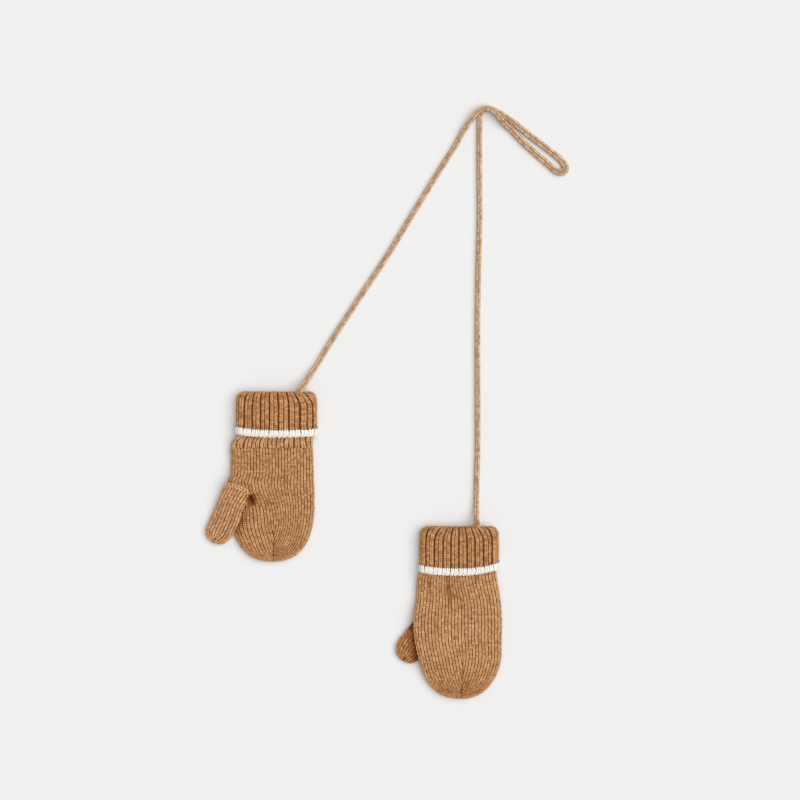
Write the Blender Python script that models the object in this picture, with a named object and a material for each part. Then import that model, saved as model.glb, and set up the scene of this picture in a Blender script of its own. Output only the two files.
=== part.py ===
"""A pair of baby mittens joined by a long knitted cord, laid flat on a surface.

Each mitten is a knitted tube pressed flat. A jersey hand runs to a gathered, closed tip, and a thumb is
sewn over a hole in its palm. A ribbed cuff turns back over the wrist and ends in a cast-on edge of a
second colour. The left mitten lies palm up, its thumb on top. The right one lies palm down, on its thumb.

All sizes are millimetres until a mesh is made. A mitten has its own coordinates: u across it to the
right, v from the cuff's fold to the tip, and z up from the surface. Every knitted wall is read from one
function, surface(), at a place x from -1 to 1 across the tube and at a depth into the cloth.
"""

import math
from types import SimpleNamespace

import bmesh
import bpy
import numpy as np

for old in list(bpy.data.objects):
    bpy.data.objects.remove(old, do_unlink=True)

MM = 0.001  # a Blender unit is a metre

JERSEY = 2.0  # thickness of the hand's and thumbs' cloth
RIB = 2.2  # thickness of the ribbed cloth
RIB_DEPTH = 0.95  # how deep the furrows between the ribs are
RIB_PROFILE = (0.0, 0.86, 1.0, 0.86)  # how full a rib is, from one furrow towards the next
FOLD_GAP = 0.5  # between the cuff's two layers
FOLDED = RIB + FOLD_GAP  # from the inner layer's face to the outer one's
FOLD_LEVEL = 2.0  # how far below its fold the ribs' places at the fold are read
CUFF_LEVEL = 15.0  # and how far below it those on the open cuff
SEAM = 0.3  # between pieces that are sewn together
STRIPE = 5.4  # height of the cast-on edge
STRIPE_BULGE = 0.8  # how far the cast-on edge stands proud of the ribs
SIDE_ROUND = 5.0  # how far in from its sides a flat tube rounds off
TIP_ROUND = 8.0  # how far back from its tip it rounds off
CROWN = 0.12  # share of its height that a tube's top loses towards the sides
WIDEST = 0.45  # level of a tube's sides, as a share of its height
CORD = 4.2  # diameter of the cord

# The palm is drawn up to the thumb's root and lies lower beside it, along a ramp down the thumb.
RAMP_START = -1.5
RAMP = 7.5
RAMP_REACH = 8.0  # how far out beside the thumb the palm follows it
CLOSED_GAP = 0.5  # left between the hand's panels where the thumb presses them together
ROOT_DROP = 0.42  # how far down the ramp the thumb's root starts
ROOT_ROOM = 0.72  # how far up from the root the palm is kept clear

# Hand rows: v, left and right side, underside, height. Thumb rows: distance s from the root, left and
# right side, underside at the left and at the right, height.
LEFT = SimpleNamespace(
    name="left",
    x=-60.9,
    y=114.9,
    hand=SimpleNamespace(
        rows=(
            (0, -22.2, 27.8, 2.7, 2.7, 7.0),
            (3, -24.3, 29.9, 2.7, 2.7, 7.0),
            (8, -25.1, 30.7, 2.7, 2.7, 7.0),
            (32, -25.2, 30.7, 2.7, 2.7, 7.0),
            (35, -29.0, 30.2, 2.7, 2.7, 6.9),
            (39, -31.5, 30.0, 1.9, 1.9, 7.0),
            (44, -31.8, 30.2, 0.8, 0.8, 7.4),
            (50, -31.4, 30.3, 0.0, 0.0, 7.8),
            (62, -31.7, 30.7, 0.0, 0.0, 7.8),
            (68, -34.2, 30.9, 0.0, 0.0, 7.8),
            (74, -34.0, 31.2, 0.0, 0.0, 7.8),
            (84, -31.4, 31.2, 0.0, 0.0, 7.8),
            (102, -33.2, 31.2, 0.0, 0.0, 7.8),
            (114, -31.8, 31.2, 0.0, 0.0, 7.8),
            (128, -29.6, 31.2, 0.0, 0.0, 7.8),
        ),
        cap=84.4,
        length=127.5,
        blunt=2.3,
    ),
    wrist=42.2,
    edge=(31.9, 34.4, 33.4),
    furrows=(
        (-22.0, -24.5),
        (-16.7, -18.4),
        (-11.6, -12.1),
        (-5.3, -5.3),
        (0.7, 1.6),
        (8.2, 9.4),
        (13.4, 17.9),
        (21.9, 28.0),
    ),
    thumb=SimpleNamespace(
        rows=(
            (0, -10.9, 10.9, 4.0, 4.8, 6.3),
            (12, -10.0, 9.6, 2.6, 5.0, 6.4),
            (24, -9.0, 10.7, 1.2, 4.3, 6.6),
            (33, -8.5, 10.6, 0.0, 1.4, 6.6),
            (37, -8.4, 10.5, 0.0, 0.0, 6.4),
            (46, -8.4, 10.5, 0.0, 0.0, 6.4),
        ),
        cap=33.0,
        length=45.6,
        blunt=2.0,
    ),
    thumb_root=(-25.1, 72.2),
    thumb_turn=math.radians(27.6),
    thumb_on_top=True,
)
RIGHT = SimpleNamespace(
    name="right",
    x=78.6,
    y=14.0,
    hand=SimpleNamespace(
        rows=(
            (0, -23.8, 24.4, 2.7, 2.7, 7.0),
            (3, -26.0, 26.6, 2.7, 2.7, 7.0),
            (8, -26.9, 27.5, 2.7, 2.7, 7.0),
            (34.5, -27.0, 27.5, 2.7, 2.7, 7.0),
            (38, -30.3, 27.9, 2.7, 2.7, 6.9),
            (45.4, -31.5, 29.3, 1.0, 1.0, 7.3),
            (54.9, -32.0, 31.1, 0.0, 0.0, 7.8),
            (64.5, -33.5, 32.1, 0.0, 0.0, 7.8),
            (74.3, -34.3, 32.6, 0.0, 0.0, 7.8),
            (83.7, -33.5, 32.1, 0.0, 0.0, 7.8),
            (103, -31.2, 33.6, 0.0, 0.0, 7.8),
            (130, -30.6, 34.4, 0.0, 0.0, 7.8),
        ),
        cap=83.7,
        length=129.4,
        blunt=2.2,
    ),
    wrist=33.8,
    edge=(34.5, 36.9, 32.3),
    furrows=(
        (-23.6, -25.8),
        (-15.1, -19.3),
        (-9.3, -12.7),
        (-5.1, -6.7),
        (-0.6, -0.6),
        (4.4, 5.7),
        (9.1, 11.7),
        (14.0, 18.3),
        (21.7, 24.8),
    ),
    thumb=SimpleNamespace(
        rows=(
            (0, -10.5, 10.5, 0.0, 0.0, 6.2),
            (15, -10.2, 9.6, 0.0, 0.0, 6.2),
            (33, -11.2, 9.4, 0.0, 0.0, 6.2),
            (46, -11.2, 9.4, 0.0, 0.0, 6.2),
        ),
        cap=33.0,
        length=45.6,
        blunt=2.0,
    ),
    thumb_root=(-16.2, 63.6),
    thumb_turn=math.radians(35.0),
    thumb_on_top=False,
)

# The cord's route from the left cuff to the right one: x, y and the height of its middle. Its first leg
# passes over the second one where they meet, and the slack between them lies in a narrow loop.
ROUTE = (
    (-39.1, 115.9, 8.7),
    (-36.9, 119.9, 7.2),
    (-32.6, 127.7, 4.0),
    (-26.9, 136.5, 2.2),
    (-20.4, 147.5, 2.1),
    (0.0, 179.0, 2.1),
    (27.6, 221.0, 2.1),
    (46.8, 252.7, 2.1),
    (66.4, 284.3, 2.1),
    (76.3, 300.0, 2.3),
    (82.0, 310.6, 3.3),
    (87.6, 318.4, 5.2),
    (92.4, 324.2, 6.6),
    (96.4, 326.8, 6.7),
    (100.7, 327.2, 6.7),
    (104.8, 324.8, 6.6),
    (109.0, 320.0, 5.4),
    (113.3, 315.4, 3.5),
    (118.4, 310.4, 2.2),
    (127.1, 301.0, 2.1),
    (137.1, 292.3, 2.1),
    (147.1, 283.5, 2.1),
    (151.5, 279.9, 2.1),
    (155.2, 278.7, 2.1),
    (158.5, 280.2, 2.1),
    (159.4, 283.3, 2.1),
    (157.2, 286.9, 2.1),
    (151.5, 291.9, 2.1),
    (142.1, 299.2, 2.1),
    (132.1, 306.7, 2.1),
    (122.1, 314.6, 2.1),
    (114.6, 320.5, 2.1),
    (109.3, 323.9, 2.1),
    (104.1, 326.6, 2.1),
    (99.3, 327.3, 2.1),
    (95.8, 325.2, 2.1),
    (94.3, 320.8, 2.1),
    (93.9, 314.0, 2.1),
    (93.6, 285.0, 2.1),
    (93.9, 250.0, 2.1),
    (92.9, 205.0, 2.1),
    (92.3, 160.0, 2.1),
    (92.4, 100.0, 2.1),
    (92.3, 70.0, 2.1),
    (91.6, 50.0, 2.1),
    (91.4, 36.0, 2.4),
    (91.3, 26.0, 4.0),
    (91.2, 18.5, 7.6),
    (91.2, 14.4, 9.3),
)
CORD_STEP = 11.5  # between the cord's points where it runs straight
CORD_TURN = math.radians(24)  # the most it turns between two points

CAMEL = (0.42, 0.24, 0.12, 1)
CAMEL_RIB = (0.39, 0.215, 0.105, 1)
CREAM = (0.85, 0.80, 0.70, 1)


def smooth(t):
    t = min(max(t, 0.0), 1.0)
    return t * t * (3 - 2 * t)


def unsmooth(y):
    """The t at which smooth(t) is y."""
    return 0.5 - math.sin(math.asin(1 - 2 * min(max(y, 0.0), 1.0)) / 3)


def mix(a, b, t):
    return a + (b - a) * t


def values(rows, at):
    """Every column of a table at one place, on curves that never run past the rows."""
    table = np.array(rows, float)
    place, columns = table[:, 0], table[:, 1:]
    at = min(max(at, place[0]), place[-1])
    k = min(max(int(np.searchsorted(place, at, "right")) - 1, 0), len(place) - 2)
    steps = np.diff(place)[:, None]
    slopes = np.diff(columns, axis=0) / steps

    def slope(i):
        if i in (0, len(place) - 1):
            return slopes[min(i, len(slopes) - 1)] * 0
        before, after = slopes[i - 1], slopes[i]
        both = before * after > 0
        return np.where(both, 2 * before * after / np.where(both, before + after, 1), 0)

    width = place[k + 1] - place[k]
    t = (at - place[k]) / width
    a, b = columns[k], columns[k + 1]
    rise = t * t * (3 - 2 * t)
    return a + (b - a) * rise + width * t * (1 - t) * ((1 - t) * slope(k) - t * slope(k + 1))


def surface(tube, x, v, inset, upper):
    """A point (u, v, z) and its outward direction (du, dz) on a flat tube, inset into its cloth."""
    left, right, low_left, low_right, height = values(tube.rows, v)
    half, middle = (right - left) / 2 - inset, (right + left) / 2
    length = tube.length - inset
    t = min(max((v - tube.cap) / (length - tube.cap), 0.0), 1.0)
    half *= (1 - t**tube.blunt) ** (1 / tube.blunt)
    low = mix(low_left, low_right, (x + 1) / 2)
    widest = low + WIDEST * height
    level = low + height * (1 - CROWN * x * x) - inset if upper else low + inset
    back = min(max(length - v, 0.0) / (TIP_ROUND - inset), 1.0)
    level = mix(widest, level, math.sqrt(1 - (1 - back) ** 2))
    reach = min(SIDE_ROUND - 0.6 * inset, 0.8 * half)
    out = max(0.0, 1 - (1 - abs(x)) * half / reach) if reach > 0 else 0.0
    rise = math.sqrt(max(0.0, 1 - out * out))
    point = (middle + half * x, v, mix(widest, level, rise))
    return point, (math.copysign(out, x), rise if upper else -rise)


def way_across(tube, v, inset, upper):
    """Places x from the left side of a tube to its right one, and how far along the cloth each is."""
    xs = np.sin(np.linspace(-math.pi / 2, math.pi / 2, 181))
    line = np.array([surface(tube, x, v, inset, upper)[0] for x in xs])
    return xs, np.concatenate([[0.0], np.cumsum(np.linalg.norm(np.diff(line, axis=0), axis=1))])


def spread(tube, v, inset, upper, marks):
    """The x of each mark, where marks are shares of the way from the left side to the right one."""
    xs, far = way_across(tube, v, inset, upper)
    return np.interp(np.asarray(marks) * far[-1], far, xs)


def loop(tube, v, inset, upper_marks, lower_marks, slope=lambda x: 0.0):
    """One ring round a tube: over the top from left to right, and back underneath."""
    top = spread(tube, v, inset, True, upper_marks)
    below = spread(tube, v, inset, False, lower_marks)[::-1]
    ring = [surface(tube, x, v + slope(x), inset, True)[0] for x in top]
    return ring + [surface(tube, x, v + slope(x), inset, False)[0] for x in below]


def ring_places(start, tube, inset, steps, cap_steps):
    """Where the rings lie: at the given steps, then closer and closer round the tip."""
    length = tube.length - inset
    cap = [tube.cap + (length - tube.cap) * math.sin(math.pi / 2 * k / cap_steps) for k in range(cap_steps)]
    return [start] + [v for v in steps if start < v < tube.cap] + cap


def material(name, colour, roughness=0.9):
    found = bpy.data.materials.get(name)
    if found:
        return found
    found = bpy.data.materials.new(name)
    found.use_nodes = True
    shader = found.node_tree.nodes["Principled BSDF"]
    shader.inputs["Base Color"].default_value = colour
    shader.inputs["Roughness"].default_value = roughness
    shader.inputs["Metallic"].default_value = 0.0
    return found


def add_mesh(name, points, faces, finish):
    """An object from points in millimetres and closed faces, with its faces turned outwards."""
    mesh = bpy.data.meshes.new(name)
    mesh.from_pydata([tuple(c * MM for c in p) for p in points], [], faces)
    work = bmesh.new()
    work.from_mesh(mesh)
    bmesh.ops.recalc_face_normals(work, faces=work.faces)
    bmesh.ops.triangulate(work, faces=work.faces)
    work.to_mesh(mesh)
    work.free()
    mesh.materials.append(finish)
    mesh.shade_smooth()
    mesh.set_sharp_from_angle(angle=math.radians(50))
    piece = bpy.data.objects.new(name, mesh)
    bpy.context.collection.objects.link(piece)
    return piece


def placed(mitten, points):
    return [(mitten.x + u, mitten.y - v, z) for u, v, z in points]


def band(first, second, count):
    """Faces between two rings whose points start at these numbers."""
    return [(first + i, first + (i + 1) % count, second + (i + 1) % count, second + i) for i in range(count)]


def closed_shell(mitten, name, outer, inner, outer_tip, inner_tip, finish):
    """A wall with an open mouth at its first rings and a closed tip."""
    count, deep = len(outer[0]), len(outer)
    points = [p for ring in outer + inner for p in ring] + [outer_tip, inner_tip]
    tip = len(points) - 2
    inside = deep * count
    faces = band(0, inside, count)
    for k in range(deep - 1):
        faces += band(k * count, (k + 1) * count, count)
    for k in range(len(inner) - 1):
        faces += band(inside + k * count, inside + (k + 1) * count, count)
    for last, end in ((inside - count, tip), (tip - count, tip + 1)):
        faces += [(last + i, last + (i + 1) % count, end) for i in range(count)]
    return add_mesh(name, placed(mitten, points), faces, finish)


def closed_ring(mitten, name, rings, finish):
    """A wall that goes round the tube, given as rings that go round the wall's own outline."""
    count = len(rings[0])
    points = [p for ring in rings for p in ring]
    faces = []
    for k in range(len(rings)):
        faces += band(k * count, (k + 1) % len(rings) * count, count)
    return add_mesh(name, placed(mitten, points), faces, finish)


def along_thumb(mitten, u, v):
    """How far down the thumb, and how far across it, a place on the mitten is."""
    du, dv = u - mitten.thumb_root[0], v - mitten.thumb_root[1]
    sin, cos = math.sin(mitten.thumb_turn), math.cos(mitten.thumb_turn)
    return dv * cos - du * sin, du * cos + dv * sin


def from_thumb(mitten, across, s, z):
    sin, cos = math.sin(mitten.thumb_turn), math.cos(mitten.thumb_turn)
    u = mitten.thumb_root[0] + across * cos - s * sin
    return (u, mitten.thumb_root[1] + s * cos + across * sin, z)


def round_thumb(mitten, point):
    """Moves a point of the hand to where the cloth lies above or below the thumb."""
    u, v, z = point
    s, across = along_thumb(mitten, u, v)
    left, right, _, _, _ = values(mitten.thumb.rows, s)
    half = (right - left) / 2
    past = max(0.0, s - mitten.thumb.cap) * half / (mitten.thumb.length - mitten.thumb.cap)
    beside = math.hypot(across - (left + right) / 2, past) - half
    near = 1 - smooth((beside + 1.5) / RAMP_REACH)
    ramp = smooth((s - RAMP_START) / RAMP)
    _, _, low, _, height = values(mitten.hand.rows, v)
    gap = height - 2 * JERSEY
    squeeze = gap - CLOSED_GAP
    share = min(max((z - low - JERSEY) / gap, 0.0), 1.0)
    if mitten.thumb_on_top:
        drawn_up = mitten.thumb.rows[0][5] + mitten.thumb.rows[0][4] - height
        before = smooth((s - RAMP_START + 15) / 15)
        return (u, v, z + near * share * mix(drawn_up * before, -squeeze, ramp))
    full = mitten.thumb.rows[0][5] + 0.4
    lift = full * near * ramp
    swell = (1 - smooth((beside + 1.5) / (2 * RAMP_REACH))) * smooth((s + 14) / 24)
    upper_lift = max(lift - squeeze, (full - squeeze) * swell)
    return (u, v, z + mix(lift, upper_lift, share))


def edge_at(mitten, x):
    """How far below the fold the cast-on edge ends: it sags between its two sides."""
    left, middle, right = mitten.edge
    return mix(middle, left if x < 0 else right, x * x)


def wrist_slope(mitten, x):
    """A wrist that the cuff hides runs along the cast-on edge, and one that shows runs straight."""
    hidden = mitten.wrist < mitten.edge[1]
    return edge_at(mitten, x) - mitten.edge[1] if hidden else 0.0


def hand(mitten):
    tube = mitten.hand
    fine = np.linspace(0, 0.6, 14)
    coarse = np.linspace(0.6, 1, 6)[1:]
    upper = np.concatenate([fine, coarse])
    lower = (upper if not mitten.thumb_on_top else np.linspace(0, 1, 13))[1:-1]
    steps = [35, 38, 41.5, 46, 50, 54] + list(np.arange(57, 84.5, 2.6))
    skins = []
    for inset in (0.0, JERSEY):
        places = ring_places(mitten.wrist + SEAM / 2, tube, inset, steps, 8)
        rings = [loop(tube, places[0], inset, upper, lower, lambda x: wrist_slope(mitten, x))]
        rings += [loop(tube, v, inset, upper, lower) for v in places[1:]]
        skins.append([[round_thumb(mitten, p) for p in ring] for ring in rings])
    tips = [surface(tube, 0, tube.length - inset, inset, True)[0] for inset in (0.0, JERSEY)]
    piece = closed_shell(mitten, f"{mitten.name}_hand", *skins, *tips, material("camel_jersey", CAMEL))
    for cutter in (thumb_room(mitten), thumb_hole(mitten)):
        cut = piece.modifiers.new(cutter.name, "BOOLEAN")
        cut.object = cutter
        cut.operation = "DIFFERENCE"
    return piece


def add_cutter(mitten, name, rings):
    """A closed solid through the rings, which only cuts."""
    count = len(rings[0])
    faces = [tuple(range(count)), tuple(range((len(rings) - 1) * count, len(rings) * count))]
    for k in range(len(rings) - 1):
        faces += band(k * count, (k + 1) * count, count)
    points = [p for ring in rings for p in ring]
    piece = add_mesh(f"{mitten.name}_{name}", placed(mitten, points), faces, material("camel_jersey", CAMEL))
    piece.hide_render = True
    piece.display_type = "WIRE"
    return piece


def thumb_room(mitten):
    """Keeps the palm a seam's width clear of the thumb all round its root."""
    marks = np.linspace(0, 1, 12)
    rings = []
    for s in (0.0, 9.0, 13.0, 18.0, 24.0):
        ring = loop(mitten.thumb, s, -SEAM, marks, marks[1:-1])
        slant = [root_slant(mitten, p) - ROOT_ROOM if s == 0 else s for p in ring]
        rings.append([from_thumb(mitten, a, d, z) for (a, _, z), d in zip(ring, slant)])
    return add_cutter(mitten, "thumb_room", rings)


def thumb_hole(mitten):
    """The cutter for the opening in the palm, a little wider than the inside of the thumb."""
    inset = 0.7 * JERSEY
    fall = -0.8 if mitten.thumb_on_top else 0.8
    marks = np.linspace(0, 1, 9)
    rings = []
    for s in (8.0, 4.0, 0.0, -4.5):
        ring = loop(mitten.thumb, max(s, 0.0), inset, marks, marks[1:-1])
        rings.append([from_thumb(mitten, a, s, z + (fall if s < 0 else 0)) for a, _, z in ring])
    return add_cutter(mitten, "thumb_hole", rings)


def thumb(mitten):
    """The thumb's root is cut on a slant, so that it stands on the ramp of the palm all round."""
    tube = mitten.thumb
    upper = np.linspace(0, 1, 12)
    lower = np.linspace(0, 1, 10)[1:-1]
    skins = []
    for inset in (0.0, JERSEY):
        places = ring_places(0.0, tube, inset, [9, 13, 18, 23, 28], 6)
        rings = []
        for k, s in enumerate(places):
            ring = loop(tube, s, inset, upper, lower)
            slant = [root_slant(mitten, p) for p in ring] if k == 0 else [s] * len(ring)
            rings.append([from_thumb(mitten, a, d, z) for (a, _, z), d in zip(ring, slant)])
        skins.append(rings)
    tips = []
    for inset in (0.0, JERSEY):
        a, s, z = surface(tube, 0, tube.length - inset, inset, True)[0]
        tips.append(from_thumb(mitten, a, s, z))
    return closed_shell(mitten, f"{mitten.name}_thumb", *skins, *tips, material("camel_jersey", CAMEL))


def root_slant(mitten, point):
    """How far down the thumb its wall starts, which goes by the height of the point."""
    _, _, low_left, low_right, height = values(mitten.thumb.rows, 0)
    share = (point[2] - mix(low_left, low_right, 0.5)) / height
    if not mitten.thumb_on_top:
        share = 1 - share
    return RAMP_START + RAMP * unsmooth(1 - share) + ROOT_DROP


def rib_stations(mitten):
    """Places round the cuff as (x at the fold, x at the edge, how full the rib is there, upper)."""
    tube = mitten.hand
    columns = []
    for column, v in ((0, FOLD_LEVEL), (1, CUFF_LEVEL)):
        left, right, _, _, _ = values(tube.rows, v)
        half = (right - left) / 2 + FOLDED
        xs, far = way_across(tube, v, -FOLDED, True)
        furrows = [-1.0] + [row[column] / half for row in mitten.furrows] + [1.0]
        marks = np.interp(furrows, xs, far)
        places = [mix(a, b, k / 4) for a, b in zip(marks, marks[1:]) for k in range(4)] + [marks[-1]]
        columns.append(np.interp(places, far, xs))
    fullness = [RIB_PROFILE[k % 4] for k in range(len(columns[0]))]
    fullness[0] = fullness[-1] = 0.5
    stations = [(a, b, full, True) for a, b, full in zip(*columns, fullness)]
    below = spread(tube, CUFF_LEVEL, -FOLDED, False, np.linspace(0, 1, 13)[1:-1])[::-1]
    return stations + [(x, x, 1.0, False) for x in below]


def cuff_point(mitten, station, v, offset):
    """A point of the cuff, offset out from the inner layer's face."""
    at_fold, at_edge, _, upper = station
    x = mix(at_fold, at_edge, smooth(v / CUFF_LEVEL))
    return surface(mitten.hand, x, v, -offset, upper)[0]


def cuff(mitten):
    """One rib wall: up the outer layer, over the fold, down the inner layer, and back between them."""
    stations = rib_stations(mitten)
    bend = RIB + FOLD_GAP / 2
    rings = []

    def ring(place):
        rings.append([cuff_point(mitten, st, *place(st, RIB_DEPTH * (1 - st[2]))) for st in stations])

    def edge(station):
        return edge_at(mitten, station[1]) - STRIPE - SEAM

    def wrist(station):
        return mitten.wrist - SEAM / 2 + wrist_slope(mitten, station[1])

    for share in (1.0, 0.84, 0.62, 0.42, 0.24):
        ring(lambda st, deep: (edge(st) * share, FOLDED - deep))
    for turn in (0, 35, 65, 90, 120, 150):
        sin, cos = math.sin(math.radians(turn)), math.cos(math.radians(turn))
        fade = 1 - smooth((turn - 65) / 85)
        ring(
            lambda st, deep: (
                bend - (bend - deep * fade) * sin,
                FOLD_GAP / 2 + (bend - deep * fade) * cos,
            )
        )
    highest = mitten.wrist + min(wrist_slope(mitten, x) for x in (-1, 0, 1)) - 2
    levels = [v for v in (bend, 12.0, 22.0, 32.0, 35.0, 38.5) if v < highest]
    shown = 0.6 if mitten.wrist > max(mitten.edge) else 0.0
    for v in levels:
        ring(lambda st, deep: (v, -RIB))
    ring(lambda st, deep: (wrist(st), -RIB))
    ring(lambda st, deep: (wrist(st), -deep * shown))
    for v in levels[::-1]:
        ring(lambda st, deep: (v, -deep * shown if v > max(mitten.edge) else 0.0))
    ring(lambda st, deep: (bend - FOLD_GAP / 2, FOLD_GAP / 2))
    ring(lambda st, deep: (bend, FOLD_GAP))
    for share in (0.5, 1.0):
        ring(lambda st, deep: (edge(st) * share, FOLD_GAP))
    return closed_ring(mitten, f"{mitten.name}_cuff", rings, material("camel_rib", CAMEL_RIB))


def cast_on_edge(mitten):
    """The band of the second colour along the outer layer's edge, which stands proud of the ribs."""
    stations = rib_stations(mitten)
    rows = (
        (0.0, FOLD_GAP, 0.0),
        (0.0, FOLDED, 0.1),
        (0.22, FOLDED, 0.8),
        (0.55, FOLDED, 1.0),
        (0.85, FOLDED, 0.75),
        (1.0, FOLDED - 0.8, 0.2),
        (0.95, FOLD_GAP, 0.0),
    )
    rings = []
    for share, offset, bulge in rows:
        ring = []
        for station in stations:
            v = edge_at(mitten, station[1]) - STRIPE * (1 - share)
            out = STRIPE_BULGE * bulge if station[3] else 0.0
            furrow = 0.45 * RIB_DEPTH * (1 - station[2]) if offset > FOLD_GAP else 0.0
            ring.append(cuff_point(mitten, station, v, offset + out - furrow))
        rings.append(ring)
    return closed_ring(mitten, f"{mitten.name}_cast_on_edge", rings, material("cream_edge", CREAM))


def smooth_route(points, steps=24):
    """Many points along a curve that passes through each of the route's points."""
    knots = np.array(points, float)
    knots = np.vstack([2 * knots[0] - knots[1], knots, 2 * knots[-1] - knots[-2]])
    found = []
    for a, b, c, d in zip(knots, knots[1:], knots[2:], knots[3:]):
        t1 = math.sqrt(np.linalg.norm(b - a))
        t2 = t1 + math.sqrt(np.linalg.norm(c - b))
        t3 = t2 + math.sqrt(np.linalg.norm(d - c))
        for t in np.linspace(t1, t2, steps, endpoint=False):
            ab = mix(a, b, t / t1)
            bc = mix(b, c, (t - t1) / (t2 - t1))
            cd = mix(c, d, (t - t2) / (t3 - t2))
            found.append(mix(mix(ab, bc, t / t2), mix(bc, cd, (t - t1) / (t3 - t1)), (t - t1) / (t2 - t1)))
    return found + [knots[-2]]


def cord():
    """A tube along the route, with its points closer together where it turns."""
    route = smooth_route(ROUTE)
    kept = [route[0]]
    heading = route[1] - route[0]
    far = 0.0
    for last, here in zip(route, route[1:]):
        step = here - last
        cos = np.dot(step, heading) / (np.linalg.norm(step) * np.linalg.norm(heading))
        turned = math.acos(min(1.0, max(-1.0, cos)))
        far += np.linalg.norm(step)
        if far > CORD_STEP or turned > CORD_TURN:
            kept.append(here)
            heading, far = step, 0.0
    kept[-1] = route[-1]
    curve = bpy.data.curves.new("cord", "CURVE")
    curve.dimensions = "3D"
    curve.bevel_depth = CORD / 2 * MM
    curve.bevel_resolution = 2
    curve.use_fill_caps = True
    line = curve.splines.new("POLY")
    line.points.add(len(kept) - 1)
    for point, (x, y, z) in zip(line.points, kept):
        point.co = (x * MM, y * MM, max(z, CORD / 2) * MM, 1)
    curve.materials.append(material("camel_cord", CAMEL))
    piece = bpy.data.objects.new("cord", curve)
    bpy.context.collection.objects.link(piece)
    return piece


for mitten in (LEFT, RIGHT):
    hand(mitten)
    thumb(mitten)
    cuff(mitten)
    cast_on_edge(mitten)
cord()
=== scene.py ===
"""Dresses a pair of knitted baby mittens that lie flat, joined by a long knitted cord.

Each piece is knitted stitch by stitch or sewn strand by strand. A cloth is a grid of points: its rows are
courses, and its columns are half-wale lines. A stitch is two legs of yarn that form a V on that grid. The
walls under the mittens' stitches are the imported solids, drawn in a little. Sizes are millimetres until a
mesh is made, and a mitten has its own coordinates: u across it to the right, v from the cuff's fold to the
tip, and z up from the surface it lies on.
"""

import functools
import math
from types import SimpleNamespace

import bmesh
import bpy
import numpy as np
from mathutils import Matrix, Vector


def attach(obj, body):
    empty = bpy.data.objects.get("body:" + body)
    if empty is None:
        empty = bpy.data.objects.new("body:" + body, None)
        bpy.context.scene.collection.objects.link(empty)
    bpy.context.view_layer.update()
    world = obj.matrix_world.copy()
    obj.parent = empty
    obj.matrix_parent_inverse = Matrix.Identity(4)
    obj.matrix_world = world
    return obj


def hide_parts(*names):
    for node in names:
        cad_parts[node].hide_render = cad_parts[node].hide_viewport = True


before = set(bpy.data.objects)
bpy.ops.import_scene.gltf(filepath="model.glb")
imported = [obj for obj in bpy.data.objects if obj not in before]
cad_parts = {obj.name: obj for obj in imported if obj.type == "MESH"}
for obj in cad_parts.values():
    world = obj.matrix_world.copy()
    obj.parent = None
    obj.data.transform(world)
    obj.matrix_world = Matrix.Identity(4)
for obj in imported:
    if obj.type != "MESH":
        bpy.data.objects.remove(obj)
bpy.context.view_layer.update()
bpy.ops.object.select_all(action="DESELECT")

# The camera looks straight down on the pair through a long lens.
MM = 0.001
VIEW_WIDTH = 600.0
VIEW_MIDDLE = (34.35, 108.5, 4.0)
CAMERA_HEIGHT = 2400.0
SENSOR = 36.0


def add_object(name, data):
    """A new object in the scene, from its camera, mesh, curve or light."""
    made = bpy.data.objects.new(name, data)
    bpy.context.scene.collection.objects.link(made)
    return made


camera_data = bpy.data.cameras.new("camera")
camera_data.sensor_width = SENSOR
camera_data.lens = SENSOR * CAMERA_HEIGHT / VIEW_WIDTH
camera_data.clip_start = 0.01
camera_data.clip_end = 20.0
camera = add_object("camera", camera_data)
camera.location = Vector((VIEW_MIDDLE[0], VIEW_MIDDLE[1], VIEW_MIDDLE[2] + CAMERA_HEIGHT)) * MM
bpy.context.scene.camera = camera

# The cord is a slim tube knitted from camel wool and sewn to the fold of each cuff. Like all of the pair's
# yarn, its wool is two plies twisted round each other, with lighter and darker fibres, and painted shade
# darkens it where one leg of a stitch dips under the next.
PLIES = 2.0
PLY_TURNS = 1.6
STREAKS = (6.0, 2.5, 140.0)  # fibres across a ply, along a leg and from stitch to stitch
PATCHES = 420.0  # of lighter and darker wool, to a metre
TINT_COUNTS = 0.5  # how much a stitch's own tint counts, and how much its fibres do
STREAKS_COUNT = 0.9
ALL_LIGHT = 0.4  # level from which the wool is all light, and as far below 0 all dark
FLECKS = 1500.0  # single ones, to a metre
FLECK_LEVELS = (0.10, 0.22)  # levels of noise between which flecks fade in
FLECK_MOST = 0.45
FIBRE_RELIEF = 0.12
# Painted light and shade on the plies: a groove is darker than its ridge by twice this share.
RIDGE_LIGHT = 0.05  # how much lighter a ply's ridge is
RIDGE_HIGH = 0.5  # how high it is, against the fibres' streaks
# Painted shade where the yarn dips: how much light it takes away, and the least share of light it leaves.
DIP_SHADE = 0.45
DARKEST = 0.2


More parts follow.
